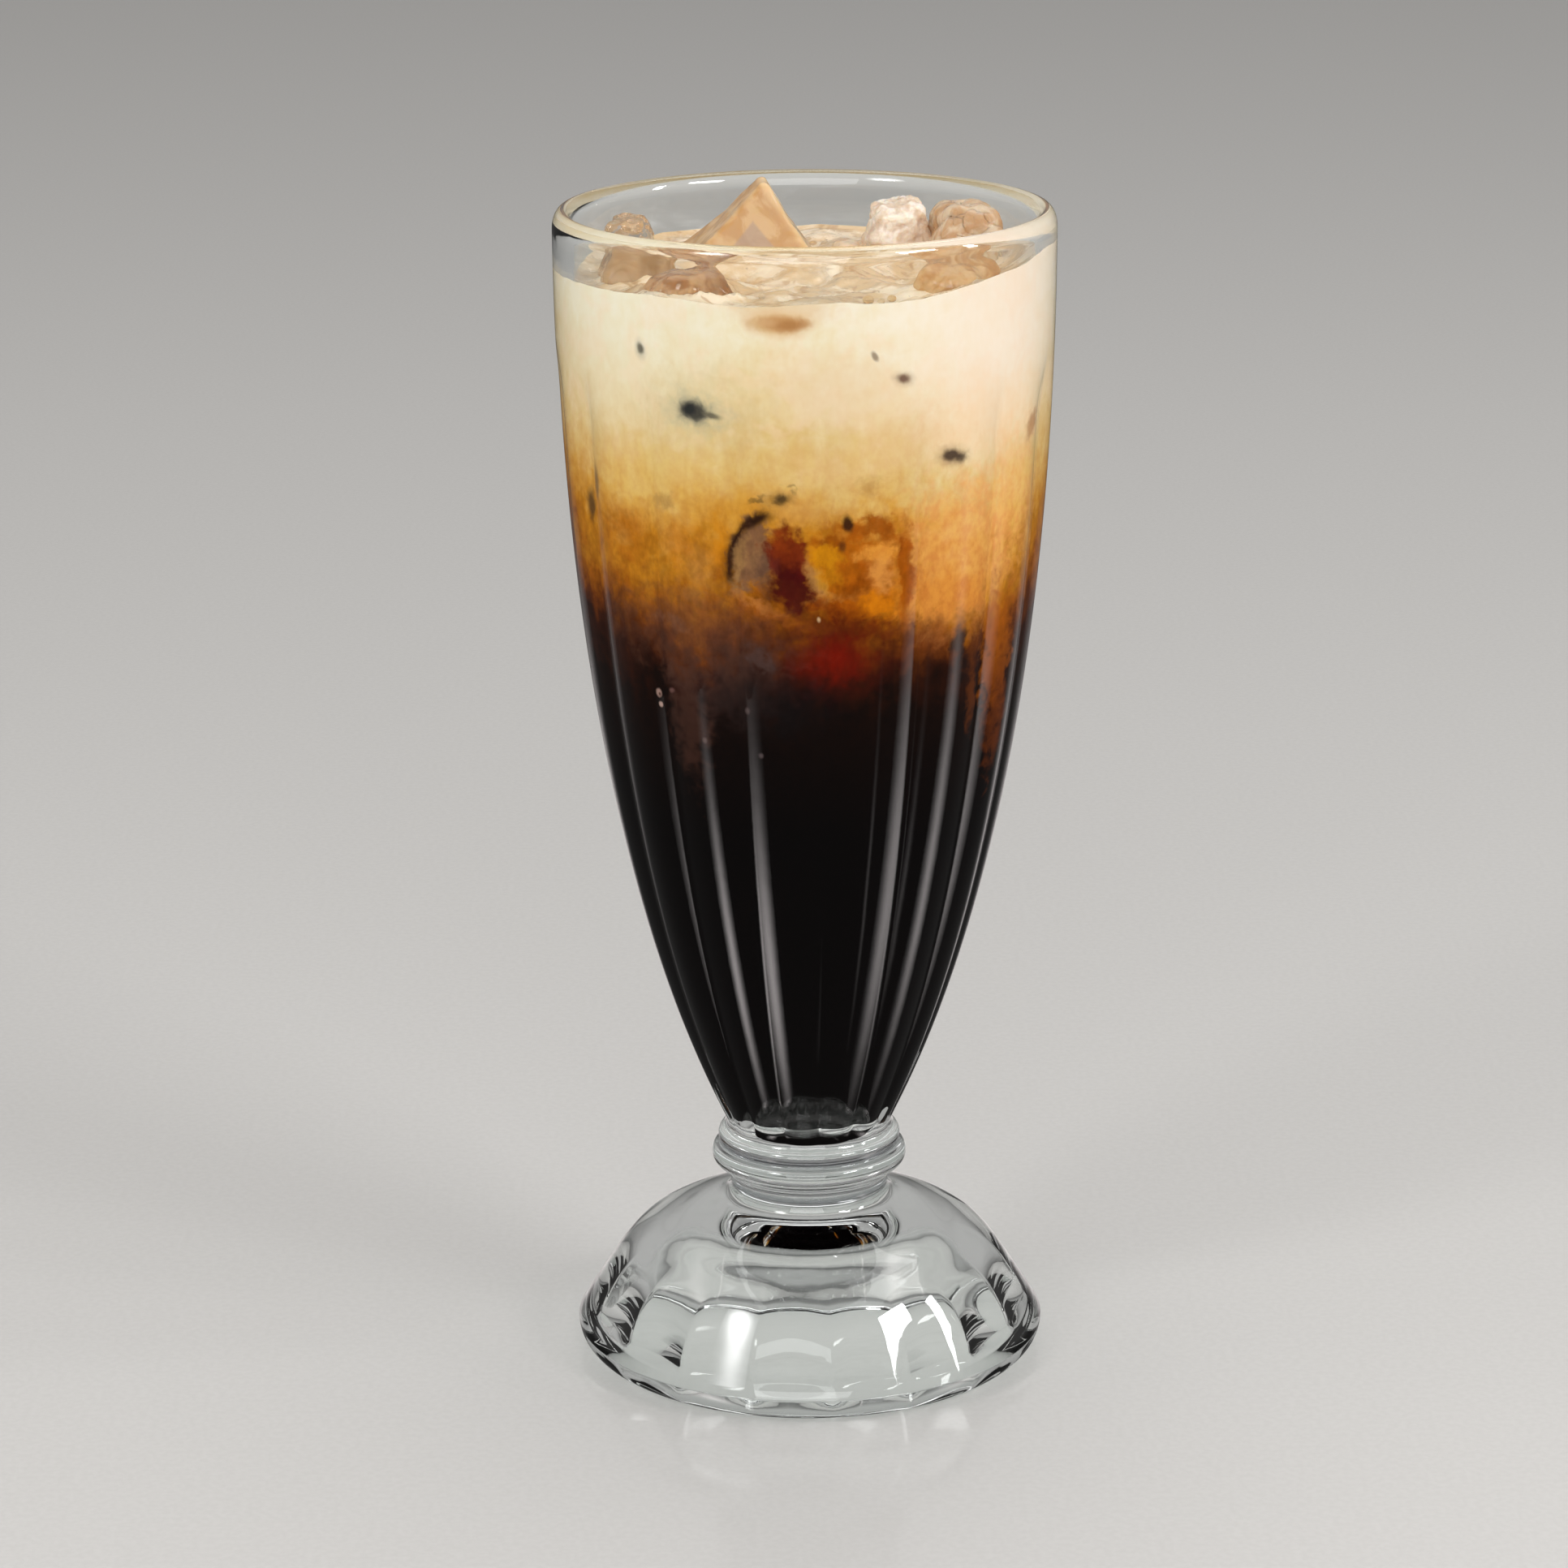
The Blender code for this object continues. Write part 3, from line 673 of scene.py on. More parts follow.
    def blots(self, colour: object) -> object:
        """Lays every blot over the drink's colour, in order.

        Args:
            colour: The drink's colour.

        Returns:
            The colour with the blots.
        """
        wires = self.wires
        along, up = wires.times(self.azimuth, BlotGroup.MM_PER_DEGREE), self.z
        still = wires.on_wall(along, up)
        for size_mm, push_along, push_up in ((5.0, 3.6, 3.2), (1.3, 2.8, 2.8)):
            wide, tall = wires.drift(self.place, size_mm)
            along, up = wires.times_plus(wide, push_along, along), wires.times_plus(tall, push_up, up)
        stirred = wires.on_wall(along, up)
        for blot in WALL_BLOTS:
            row_along, row_over = blot.rows()
            shape = {
                "Place": still if blot.steady else stirred, "Ripple": self.ripple,
                "Along": row_along, "Over": row_over,
                "Softness": blot.softness, "Wobble": blot.wobble, "Strength": blot.strength,
            }
            mask = wires.group(BlotGroup.NAME, shape)["Mask"]
            colour = wires.mix(mask, colour, tone(*blot.screen))
        return colour

    def crescent(self, colour: object) -> object:
        """Lays the dark, bent edge of the left cube over the drink's colour.

        Args:
            colour: The drink's colour.

        Returns:
            The colour with the edge.
        """
        wires = self.wires
        across = wires.times_plus(self.azimuth, -BlotGroup.MM_PER_DEGREE, self.CRESCENT_MIDDLE[0])
        up = wires.minus(self.z, self.CRESCENT_MIDDLE[1])
        reach = wires.times_plus(self.ripple, 2.0, wires.length(across, up))
        line = wires.bell(reach, *self.CRESCENT_LINE)
        turn = wires.times(wires.maths("ARCTAN2", up, across), 180.0 / math.pi)
        part = wires.times(wires.span(turn, -20.0, -6.0), wires.span(turn, 70.0, 92.0, (1.0, 0.0)))
        broken = wires.span(self.ripple, -0.26, 0.0, (0.55, 0.97))
        return wires.mix(wires.times(line, part, broken), colour, self.CRESCENT)

    def mottle(self, colour: object) -> object:
        """Lays small lighter and darker flecks over everything, drawn out along the wall's height.

        Args:
            colour: The drink's colour.

        Returns:
            The colour with the flecks.
        """
        wires = self.wires
        flecks = wires.cloud(wires.stretched(self.place, (1.0, 1.0, 0.75), (2.0, 8.0, 1.0)), 1.1, 4.0)
        streaks = wires.cloud(wires.stretched(self.place, (1.0, 1.0, 0.30), (5.0, 1.0, 6.0)), 2.2, 3.0)
        both = wires.plus(wires.times(flecks, 0.55), wires.times(streaks, 0.45))
        grey = wires.span(both, 0.36, 0.64, (0.22, 0.78))
        share = wires.times_plus(wires.bell(self.z, 139.0, 15.0), 0.24, 0.07)
        return wires.mix(share, colour, grey, "OVERLAY")


class WavesGroup:
    """A node group with the height of a soft, wavy, slightly pitted surface, for glass and ice."""

    NAME = "melt_waves"
    PIT_MM = 0.5

    def build(self) -> None:
        """Makes the group, with the size of the waves and the share of fine pits."""
        inputs = {"Wave size": NUMBER, "Pits": NUMBER}
        wires, given, result = new_group(self.NAME, inputs, {"Height": NUMBER})
        place = wires.place_mm()
        scale = wires.maths("DIVIDE", 1.0, given["Wave size"])
        waves = wires.add("TexNoise", {"Vector": place, "Scale": scale, "Detail": 2.0}).outputs["Fac"]
        height = wires.times_plus(wires.cloud(place, self.PIT_MM), given["Pits"], waves)
        wires.feed(result, {"Height": height})


@dataclass(frozen=True)
class ClearGlass:
    """Pressed soda-lime glass: clear, a trace of green, with soft waves left by the mould.

    shadow is what it lets through to the drink and the floor, and shadow_edge that of its steep parts.
    The tint turns dark grey in two bands, given as heights with a spread, above the ring and below the neck:
    painted shade for dark surroundings seen through the glass there.
    """

    name: str = "clear_glass"
    colour: Colour = (0.965, 0.99, 0.98)
    # This dark grey tint is painted shade: it darkens two bands above the ring and below the neck in place
    # of dark surroundings seen through the glass.
    painted_shade: Colour = (0.20, 0.21, 0.23)
    painted_shade_bands_mm: tuple = ((36.0, 1.3), (29.0, 1.1))
    shadow: Colour = (0.975, 0.99, 0.985)
    shadow_edge: Colour = (0.55, 0.59, 0.58)
    roughness: float = 0.012
    ior: float = 1.51

    def build(self) -> bpy.types.Material:
        """Makes the material. Light on its way to the drink or the floor passes it unbent.

        Returns:
            The material.
        """
        material, wires, shader = new_finish(self.name)
        waves = wires.group(WavesGroup.NAME, {"Wave size": 9.0, "Pits": 0.02})["Height"]
        haze = wires.cloud(wires.place_mm(), 14.0)
        wires.feed(shader, {
            "Base Color": self.body(wires),
            "Transmission Weight": 1.0,
            "IOR": self.ior,
            "Normal": wires.relief(waves, 0.10, 0.35),
            "Roughness": wires.span(haze, 0.45, 0.8, (self.roughness, self.roughness * 3.0)),
        })
        facing = wires.add("LayerWeight", {"Blend": 0.35}).outputs["Facing"]
        wires.let_light_through(shader, wires.mix(facing, self.shadow, self.shadow_edge), True)
        return material

    def body(self, wires: Wiring) -> object:
        """Gives the glass's tint, with painted shade in two dark bands above the ring and below the neck.

        Args:
            wires: The material's wiring.

        Returns:
            The colour.
        """
        z = wires.split(wires.place_mm())["Z"]
        upper, lower = (wires.bell(z, height, spread) for height, spread in self.painted_shade_bands_mm)
        return wires.mix(wires.maths("ADD", upper, lower, clamp=True), self.colour, self.painted_shade)


@dataclass(frozen=True)
class DrinkFinish:
    """The drink as it shows through the wall."""

    name: str
    roughness: float = 0.6
    specular: float = 0.0

    def build(self) -> bpy.types.Material:
        """Makes the material.

        Returns:
            The material.
        """
        material, wires, shader = new_finish(self.name)
        marbling = wires.group(MarblingGroup.NAME, {})["Color"]
        look = {"Base Color": marbling, "Roughness": self.roughness, "Specular IOR Level": self.specular}
        wires.feed(shader, look)
        return material


@dataclass(frozen=True)
class MilkTopFinish:
    """The milk's open surface: tan and cream over the ice below it, with small brown flecks, wet; its tones
    are set darker than the milk on the wall, as painted shade on the top.
    """

    name: str = "milk_top"
    # These tones are darker than the milk on the wall: painted shade on the open top.
    tan: Colour = tone(214, 182, 140)
    cream: Colour = tone(234, 213, 184)
    shade: Colour = tone(184, 144, 102)
    fleck: Colour = tone(104, 66, 40)

    def build(self) -> bpy.types.Material:
        """Makes the material.

        Returns:
            The material.
        """
        material, wires, shader = new_finish(self.name)
        place = wires.place_mm()
        pale = wires.span(wires.cloud(place, 8.0, 4.0, 0.8), 0.42, 0.60)
        colour = wires.mix(pale, self.tan, self.cream)
        shade = wires.cloud(wires.stretched(place, (1.0, 1.0, 1.0), (40.0, 9.0, 0.0)), 4.0, 4.0, 1.2)
        colour = wires.mix(wires.times(wires.span(shade, 0.54, 0.66), 0.7), colour, self.shade)
        flecks = wires.span(wires.cloud(place, 1.6, 2.0, 0.4), 0.68, 0.76)
        wires.feed(shader, {
            "Base Color": wires.mix(wires.times(flecks, 0.8), colour, self.fleck),
            "Roughness": wires.span(pale, 0.0, 1.0, (0.12, 0.30)),
            "Normal": wires.relief(wires.cloud(place, 1.4), 0.25, 0.6),
            "Subsurface Weight": 0.25,
            "Subsurface Radius": (1.0, 0.7, 0.4),
            "Subsurface Scale": 1.2 * MM,
        })
        return material


@dataclass(frozen=True)
class IceFinish:
    """Wet ice with coffee and milk in and on it.

    body and stain are its two colours, clear is how much light goes through, roughness how frosted it is,
    wave_mm the size of its melted waves, pits how gritty it is and facet whether it has the peak's front
    marks: a grey triangle, with its tip at tip_mm, as x and height, whose sides spread as fast as it falls
    times slope, and a pale edge right of it, a painted highlight, that leans by lean.
    """

    name: str
    body: Colour
    stain: Colour
    clear: float
    roughness: float
    wave_mm: float = 3.0
    pits: float = 0.2
    depth_mm: float = 0.35
    facet: bool = False

    tip_mm: tuple[float, float] = (-8.2, 189.6)
    slope: float = 0.85
    lean: float = 0.72
    # face is the grey triangle's colour; edge is the colour of the painted highlight right of it.
    face: Colour = tone(166, 144, 128)
    edge: Colour = tone(228, 200, 158)

    def build(self) -> bpy.types.Material:
        """Makes the material.

        Returns:
            The material.
        """
        material, wires, shader = new_finish(self.name)
        place = wires.place_mm()
        stains = wires.span(wires.cloud(place, 4.5, 4.0, 1.0), 0.40, 0.62)
        colour = wires.mix(stains, self.body, self.stain)
        if self.facet:
            colour = self.grey_triangle_and_painted_highlight(wires, colour, place)
        frost = (self.roughness * 0.5, self.roughness * 1.5)
        waves = wires.group(WavesGroup.NAME, {"Wave size": self.wave_mm, "Pits": self.pits})["Height"]
        wires.feed(shader, {
            "Base Color": colour,
            "Roughness": wires.span(wires.cloud(place, 2.4), 0.35, 0.65, frost),
            "Normal": wires.relief(waves, self.depth_mm, 0.8),
            "Transmission Weight": self.clear,
            "IOR": 1.31,
            "Subsurface Weight": 0.4,
            "Subsurface Radius": (1.0, 0.6, 0.3),
            "Subsurface Scale": 2.5 * MM,
        })
        wires.let_light_through(shader, tuple(0.35 + 0.6 * self.clear * part for part in self.body), False)
        return material

    def grey_triangle_and_painted_highlight(self, wires: Wiring, colour: object, place: object) -> object:
        """Lays the grey triangle low on the peak's front, and the painted highlight along its right edge,
        over a colour.

        Args:
            wires: The material's wiring.
            colour: The ice's colour.
            place: The point in millimetres.

        Returns:
            The colour with the face.
        """
        x, _, z = wires.split(place)
        spread = wires.times(wires.minus(self.tip_mm[1], z), self.slope)
        across = wires.maths("ABSOLUTE", wires.minus(x, self.tip_mm[0]))
        inside = wires.span(wires.minus(spread, across), -0.2, 0.5)
        colour = wires.mix(wires.times(inside, 0.65), colour, self.face)
        # The pale band right of the grey triangle is a painted highlight.
        slant = wires.plus(x, wires.times(wires.minus(z, 186.0), self.lean))
        return wires.mix(wires.times(wires.span(slant, -1.6, 0.6), 0.7), colour, self.edge)


@dataclass
class FountainGlass:
    """The pressed glass: ribbed bowl, bead ring, neck and hollow panelled foot.

    bowl, cavity, neck, dome and hollow are the control points of the section's curves, as (radius, height).
    rib_depth and panel_depth are shares of the radius, and a fade is the height over which relief dies out.
    """

    height: float = 0.192
    rim_radius: float = 0.040
    wall: float = 0.0033
    steps: int = 272
    on_surface: float = 0.00002

    rib_count: int = 16
    rib_turn: float = math.radians(6.0)
    rib_depth: float = 0.028
    ribs_low: float = 0.0392
    ribs_high: float = 0.1720
    ribs_low_fade: float = 0.0028
    ribs_high_fade: float = 0.011

    panel_depth: float = 0.035
    panels_low: float = 0.0031
    panels_high: float = 0.0184
    panels_end: float = 0.0155
    panels_fade: float = 0.0100

    bowl: tuple = ((0.01365, 0.0395), (0.0333, 0.0791), (0.0400, 0.1346), (0.0400, 0.1890))
    cavity: tuple = ((0.0088, 0.0428), (0.0312, 0.0815), (0.0367, 0.1360), (0.0367, 0.1890))
    neck: tuple = ((0.0146, 0.0313), (0.0124, 0.0302), (0.0122, 0.0262), (0.0165, 0.0251))
    dome: tuple = ((0.0133, 0.0264), (0.0308, 0.0192), (0.0276, 0.0229), (0.0389, 0.0048))
    hollow: tuple = ((0.0312, 0.0032), (0.0306, 0.0105), (0.0235, 0.0178), (0.0097, 0.0183))
    well_floor: float = 0.0364
    well_radius: float = 0.0058
    well_corner: float = 0.0010
    well_top: float = 0.0408

    def outline(self) -> Outline:
        """Draws the glass's section.

        Returns:
            Points from the well's floor, over the lip and down the outside to the hollow's top.
        """
        half_wall = self.wall / 2
        lip_level = self.bowl[3][1]
        corner = self.well_corner
        line: Outline = [(0.0, self.well_floor), (self.well_radius * 0.4, self.well_floor)]
        line += arc((self.well_radius - corner, self.well_floor + corner), (corner, corner), -90, 0, 8)
        line += [(self.well_radius, self.well_top - 0.0008), (self.well_radius + 0.0001, self.well_top)]
        line += bezier(self.cavity, 70)
        lip = (half_wall, self.height - lip_level)
        line += arc((self.rim_radius - half_wall, lip_level), lip, 180, 0, 24)[1:-1]
        line += bezier(self.bowl, 90)[::-1]
        line += arc((0.0138, 0.03675), (0.00135, 0.00135), 68, -48, 14)
        line += arc((0.01425, 0.0336), (0.00195, 0.00195), 60, -68, 20)
        line += bezier(self.neck, 16)[1:]
        line += bezier(self.dome, 46, 0.066)[1:]
        line += arc((0.0341, 0.0048), (0.0048, 0.0048), 0, -90, 18)[1:]
        line += [(0.0333, 0.0), (0.0326, 0.0), (0.0322, 0.0008), (0.0318, 0.0019), (0.0316, 0.0026)]
        line += bezier(self.hollow, 36)
        line += [(0.0088, 0.01842), (0.0070, 0.01862), (0.0040, 0.01886), (0.0, 0.0190)]
        return line

    def groove(self, angle: np.ndarray) -> np.ndarray:
        """1 in the line between two ribs, and 0 on a rib's crest."""
        return 1.0 - np.abs(np.sin(self.rib_count / 2 * angle))

    @staticmethod
    def radius_at(line: Outline, height: np.ndarray | float) -> np.ndarray | float:
        """The radius of a line of the section at a height."""
        radii, heights = np.array(line).T
        return np.interp(height, heights, radii)

    def build(self) -> bpy.types.Object:
        """Turns the glass and presses its ribs and panels.

        Returns:
            The glass.
        """
        piece = Bench.turned("glass_body", self.outline(), self.steps)
        points = Bench.points(piece)
        radius = np.hypot(points[:, 0], points[:, 1])
        angle = np.arctan2(points[:, 1], points[:, 0])
        height = points[:, 2].copy()
        inward = np.zeros(len(points))
        ribs = np.abs(radius - self.radius_at(bezier(self.bowl, 90), height)) < self.on_surface
        ribs &= (height > self.ribs_low) & (height < self.ribs_high)
        fade = smooth_step((self.ribs_high - height) / self.ribs_high_fade)
        fade = fade * smooth_step((height - self.ribs_low) / self.ribs_low_fade)
        inward[ribs] = (self.rib_depth * self.groove(angle) * fade)[ribs]
        panels = np.abs(radius - self.radius_at(bezier(self.hollow, 36), height)) < self.on_surface
        panels &= (height > self.panels_low) & (height < self.panels_high)
        fade = smooth_step((self.panels_end - height) / self.panels_fade)
        inward[panels] = (self.panel_depth * (1.0 - self.groove(angle)) * fade)[panels]
        angle = angle + self.rib_turn
        points[:, 0] = radius * (1.0 - inward) * np.cos(angle)
        points[:, 1] = radius * (1.0 - inward) * np.sin(angle)
        Bench.move_points(piece, points)
        piece.data.materials.append(ClearGlass().build())
        return piece

    def inside(self, height: np.ndarray | float) -> np.ndarray | float:
        """The radius of the inner wall at a height."""
        well = [(self.well_radius, self.well_floor), (self.well_radius, self.well_top)]
        return self.radius_at(well + bezier(self.cavity, 120), height)


@dataclass(frozen=True)
class IcePiece:
    """One piece of ice: its node, the footprint it has in the milk's surface, and how it is worn.

    lump_mm is the size of its lumps and wear_mm their depth, grit_mm the depth of its fine grit, and
    swell_mm how far it grows in all.
    """

    node: str
    middle_mm: tuple[float, float]
    size_mm: tuple[float, float]
    turn: float
    finish: IceFinish
    lump_mm: float = 3.0
    wear_mm: float = 0.5
    grit_mm: float = 0.08
    swell_mm: float = 0.0
    grain_mm: float = 0.7
    voxel_mm: float = 0.28

    def footprint(self, points: np.ndarray) -> np.ndarray:
        """Measures how far each point is from the footprint's edge.

        Args:
            points: Rows of x, y and z.

        Returns:
            The distance in metres, below zero inside the footprint.
        """
        turn = math.radians(self.turn)
        x = points[:, 0] - self.middle_mm[0] * MM
        y = points[:, 1] - self.middle_mm[1] * MM
        along = np.abs(x * math.cos(turn) + y * math.sin(turn)) - self.size_mm[0] * MM / 2
        over = np.abs(y * math.cos(turn) - x * math.sin(turn)) - self.size_mm[1] * MM / 2
        outside = np.hypot(np.maximum(along, 0.0), np.maximum(over, 0.0))
        return outside + np.minimum(np.maximum(along, over), 0.0)

    def build(self) -> bpy.types.Object:
        """Wears the node's block down to a melted piece, and dresses it.

        Returns:
            The piece.
        """
        piece = Bench.placed(self.node + "_worn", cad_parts[self.node].data.copy())
        piece.data.materials.clear()
        Bench.take(piece)
        with Bench.editing():
            bpy.ops.mesh.remove_doubles(threshold=2.0 * TINY)
        remesh = piece.modifiers.new("Remesh", "REMESH")
        remesh.mode = "VOXEL"
        remesh.voxel_size = self.voxel_mm * MM
        soften = piece.modifiers.new("Soften", "SMOOTH")
        soften.factor = 0.5
        soften.iterations = 6
        coats = (("Lumps", self.lump_mm, self.wear_mm), ("Grit", self.grain_mm, self.grit_mm))
        for label, size, depth in coats:
            texture = bpy.data.textures.new(self.node + label, "CLOUDS")
            texture.noise_scale = size * MM
            texture.noise_depth = 2
            wear = piece.modifiers.new(label, "DISPLACE")
            wear.texture = texture
            wear.texture_coords = "LOCAL"
            wear.strength = depth * MM
            wear.mid_level = 0.6
        swell = piece.modifiers.new("Swell", "DISPLACE")
        swell.strength = self.swell_mm * MM
        swell.mid_level = 0.0
        for modifier in list(piece.modifiers):
            bpy.ops.object.modifier_apply(modifier=modifier.name)
        bpy.ops.object.shade_smooth()
        piece.data.materials.append(self.finish.build())
        return piece


TAN_ICE = IceFinish("ice_tan", tone(206, 171, 126), tone(190, 148, 98), 0.10, 0.14, 4.0, 0.10, facet=True)
FROSTED_ICE = IceFinish("ice_frost", tone(232, 222, 208), tone(206, 182, 158), 0.0, 0.34, 1.3, 0.6, 0.4)
AMBER_BACK_ICE = IceFinish("ice_amber", tone(222, 201, 173), tone(198, 160, 120), 0.30, 0.12, 2.4, 0.3)
AMBER_FRONT_ICE = IceFinish(
    "ice_dark_amber", tone(208, 178, 141), tone(162, 119, 78), 0.70, 0.04, 2.6, 0.05, 0.6
)
GOLDEN_ICE = IceFinish("ice_gold", tone(228, 194, 144), tone(196, 148, 92), 0.55, 0.08, 3.0, 0.1, 0.5)
OLIVE_ICE = IceFinish("ice_olive", tone(199, 169, 131), tone(174, 141, 98), 0.60, 0.10, 3.2, 0.1)
# The grey body and stain of the clear ice are painted shade for dark surroundings seen through it.
CLEAR_ICE = IceFinish("ice_clear", tone(214, 208, 202), tone(204, 196, 188), 0.96, 0.03, 3.4, 0.05)

ICE_PIECES: tuple[IcePiece, ...] = (
    IcePiece("ice_peak", (-9.6, 6.0), (23.0, 14.5), 5, TAN_ICE, 5.0, 0.5, 0.05, 0.1),
    IcePiece("ice_frosted", (14.8, 12.6), (9.8, 12.0), 6, FROSTED_ICE, 4.0, 3.4, 0.5, 0.2),
    IcePiece("ice_amber_back", (25.7, 6.2), (8.8, 12.6), 8, AMBER_BACK_ICE, 4.4, 2.8, 0.2, 1.5),
    IcePiece("ice_slab_right", (23.4, -15.6), (9.8, 12.0), -24, GOLDEN_ICE, 3.5, 0.9, 0.08, 0.5),
    IcePiece("ice_amber_front", (-17.6, -21.4), (12.8, 8.8), 20, AMBER_FRONT_ICE, 3.2, 0.9, 0.08, 0.4),
    IcePiece("ice_slab_left", (-26.2, -6.6), (11.0, 13.4), 10, OLIVE_ICE, 4.0, 0.8, 0.08, 0.3),
    IcePiece("ice_clear_back", (-28.0, 8.8), (7.6, 9.0), -8, CLEAR_ICE, 3.0, 1.4, 0.12, 0.1),
    IcePiece("ice_small", (6.4, 1.2), (5.0, 5.6), 20, AMBER_BACK_ICE, 2.0, 0.6, 0.08, 0.3),
)


@dataclass(frozen=True)
class LayerShape:
    """A layer's node and slot, its floor and level, and the phases of their waves, None for a still one."""

    node: str
    slot: str
    floor: float
    level: float
    floor_phase: float | None
    top_phase: float | None


class Layer(Enum):
    """The drink's layers, from the bottom up."""

    COFFEE = LayerShape("coffee", "black_coffee", 0.0364, 0.1235, None, 0.0)
    MIXED = LayerShape("mixed_coffee", "coffee_and_milk", 0.1235, 0.1475, 0.0, 2.1)
    MILK = LayerShape("milk", "milk", 0.1475, 0.1820, 2.1, None)


@dataclass
class Drink:
    """The coffee, the blend and the milk, each a closed body that reaches just into the glass's wall.

    film is the milk that clings to the wall on the right, thin its fine edge there, and collar what is
    drawn up round the ice.
    """

    glass: FountainGlass
    reach: float = 0.00005
    steps: int = 180
    wave: float = 0.0016
    swell: float = 0.0004
    ripple: float = 0.0010
    ripple_size: float = 0.007
    meniscus: float = 0.0009
    thin_width: float = 0.0012
    film_rise: float = 0.0042
    film_angle: float = math.radians(-6.0)
    film_spread: float = math.radians(38.0)
    film_width: float = 0.006
    collar: float = 0.0011
    sunk: float = 0.0032
    sunk_width: float = 0.0025
    wavy_height: float = 0.012

    def side(self, height: np.ndarray | float) -> np.ndarray | float:
        """How far out a layer reaches at a height: just into the wall's glass."""
        return self.glass.inside(height) + self.reach

    def layer_wave(self, x: np.ndarray, y: np.ndarray, phase: float) -> np.ndarray:
        """How far an uneven surface between two layers stands above its level."""
        wave = np.sin(95.0 * x + phase) + np.cos(120.0 * y - 1.7 * phase)
        return self.wave * (wave + 0.6 * np.sin(210.0 * (x + 0.6 * y) + 2.3 * phase))

    def milk_surface(self, points: np.ndarray, ice: Sequence[IcePiece]) -> np.ndarray:
        """Shapes the milk's open surface: swells, the wall's edge and collars round the ice.

        Args:
            points: Rows of x, y and z.
            ice: The pieces that stand in it.

        Returns:
            How far the surface stands above its level at each point.
        """
        x, y = points[:, 0], points[:, 1]
        radius = np.hypot(x, y)
        swell = self.swell * (np.sin(240.0 * x + 0.4) + np.cos(205.0 * y + 260.0 * x))
        spots = zip(x / self.ripple_size, y / self.ripple_size)
        ripple = np.array([noise.fractal((px, py, 4.0), 1.0, 2.0, 4) for px, py in spots])
        swell = swell + self.ripple * ripple
        rim = self.glass.inside(Layer.MILK.value.level)
        edge = smooth_step(1.0 - (rim - radius) / self.film_width)
        thin = np.exp(-(rim - radius) / self.thin_width)
        turn = (np.arctan2(y, x) - self.film_angle) / self.film_spread
        film = self.film_rise * np.exp(-turn * turn)
        height = swell * (1.0 - 0.7 * edge) + film * edge + self.meniscus * thin
        for piece in ice:
            outside = piece.footprint(points)
            collar = self.collar * np.exp(-np.maximum(outside, 0.0) / self.collar)
            sunk = self.collar - self.sunk * smooth_step(-outside / self.sunk_width)
            height = height + np.where(outside > 0.0, collar, sunk)
        return height

    def wall_line(self, low: float, high: float, spacing: float = 0.0012) -> Outline:
        """The layer's side, from its top down."""
        heights = np.linspace(high, low, max(3, round((high - low) / spacing)))
        return [(float(self.side(height)), float(height)) for height in heights]

    def outline(self, shape: LayerShape) -> Outline:
        """Draws a layer's section.

        Args:
            shape: The layer.

        Returns:
            Points from the middle of its top to the middle of its floor.
        """
        glass, floor, level, reach = self.glass, shape.floor, shape.level, self.reach
        shares = np.linspace(0.0, 1.0, 64 if shape.top_phase is None else 14)[:-1]
        line: Outline = [(float(self.side(level) * share), level) for share in shares]
        if shape.floor_phase is None:
            corner = glass.well_corner
            bend = (glass.well_radius - corner + reach, floor + corner - reach)
            line += self.wall_line(glass.cavity[0][1], level)
            line += [(glass.well_radius + reach, glass.well_top)]
            return line + arc(bend, (corner, corner), 0, -90, 6) + [(0.0, floor - reach)]
        shares = np.linspace(0.0, 1.0, 14)[:-1][::-1]
        line += self.wall_line(floor, level)
        return line + [(float(self.side(floor) * share), floor) for share in shares]

    def build_layer(self, layer: Layer, ice: Sequence[IcePiece]) -> bpy.types.Object:
        """Turns one layer, shapes its floor and top, and dresses it.

        Args:
            layer: Which layer.
            ice: The pieces that stand in the milk.

        Returns:
            The layer.
        """
        shape = layer.value
        open_top = shape.top_phase is None
        piece = Bench.turned(shape.node + "_body", self.outline(shape), self.steps)
        points = Bench.points(piece)
        x, y, z = points.T
        share = np.clip((z - shape.floor) / (shape.level - shape.floor), 0.0, 1.0)
        rise = np.zeros(len(points))
        if shape.floor_phase is not None:
            rise += self.layer_wave(x, y, shape.floor_phase) * (1.0 - share)
        if open_top:
            rise += self.milk_surface(points, ice) * smooth_step((share - 0.5) / 0.5)
        elif shape.floor_phase is None:
            near_top = smooth_step((z - shape.level + self.wavy_height) / self.wavy_height)
            rise += self.layer_wave(x, y, shape.top_phase) * near_top
        else:
            rise += self.layer_wave(x, y, shape.top_phase) * share
        radius = np.hypot(x, y)
        on_wall = radius > self.glass.inside(z) + self.reach * 0.5
        points[:, 2] += rise
        follow = self.side(points[:, 2]) / np.maximum(radius, TINY)
        points[:, :2] *= np.where(on_wall, follow, 1.0)[:, None]
        Bench.move_points(piece, points)
        Bench.take(piece)
        bpy.ops.object.shade_smooth_by_angle(angle=math.radians(40.0))
        piece.data.materials.append(DrinkFinish(shape.node + "_wall").build())
        if open_top:
            self.dress_top(piece, shape.level)
        return piece

    def dress_top(self, piece: bpy.types.Object, level: float) -> None:
        """Gives the milk's open surface its own finish.

        Args:
            piece: The milk.
            level: The height of its surface.
        """
        piece.data.materials.append(MilkTopFinish().build())
        inner = self.side(level) - 0.2 * MM
        for face in piece.data.polygons:
            middle = face.center
            on_top = middle.z > level - 5.0 * MM and math.hypot(middle.x, middle.y) < inner
            face.material_index = int(on_top and face.normal.z > 0.0)


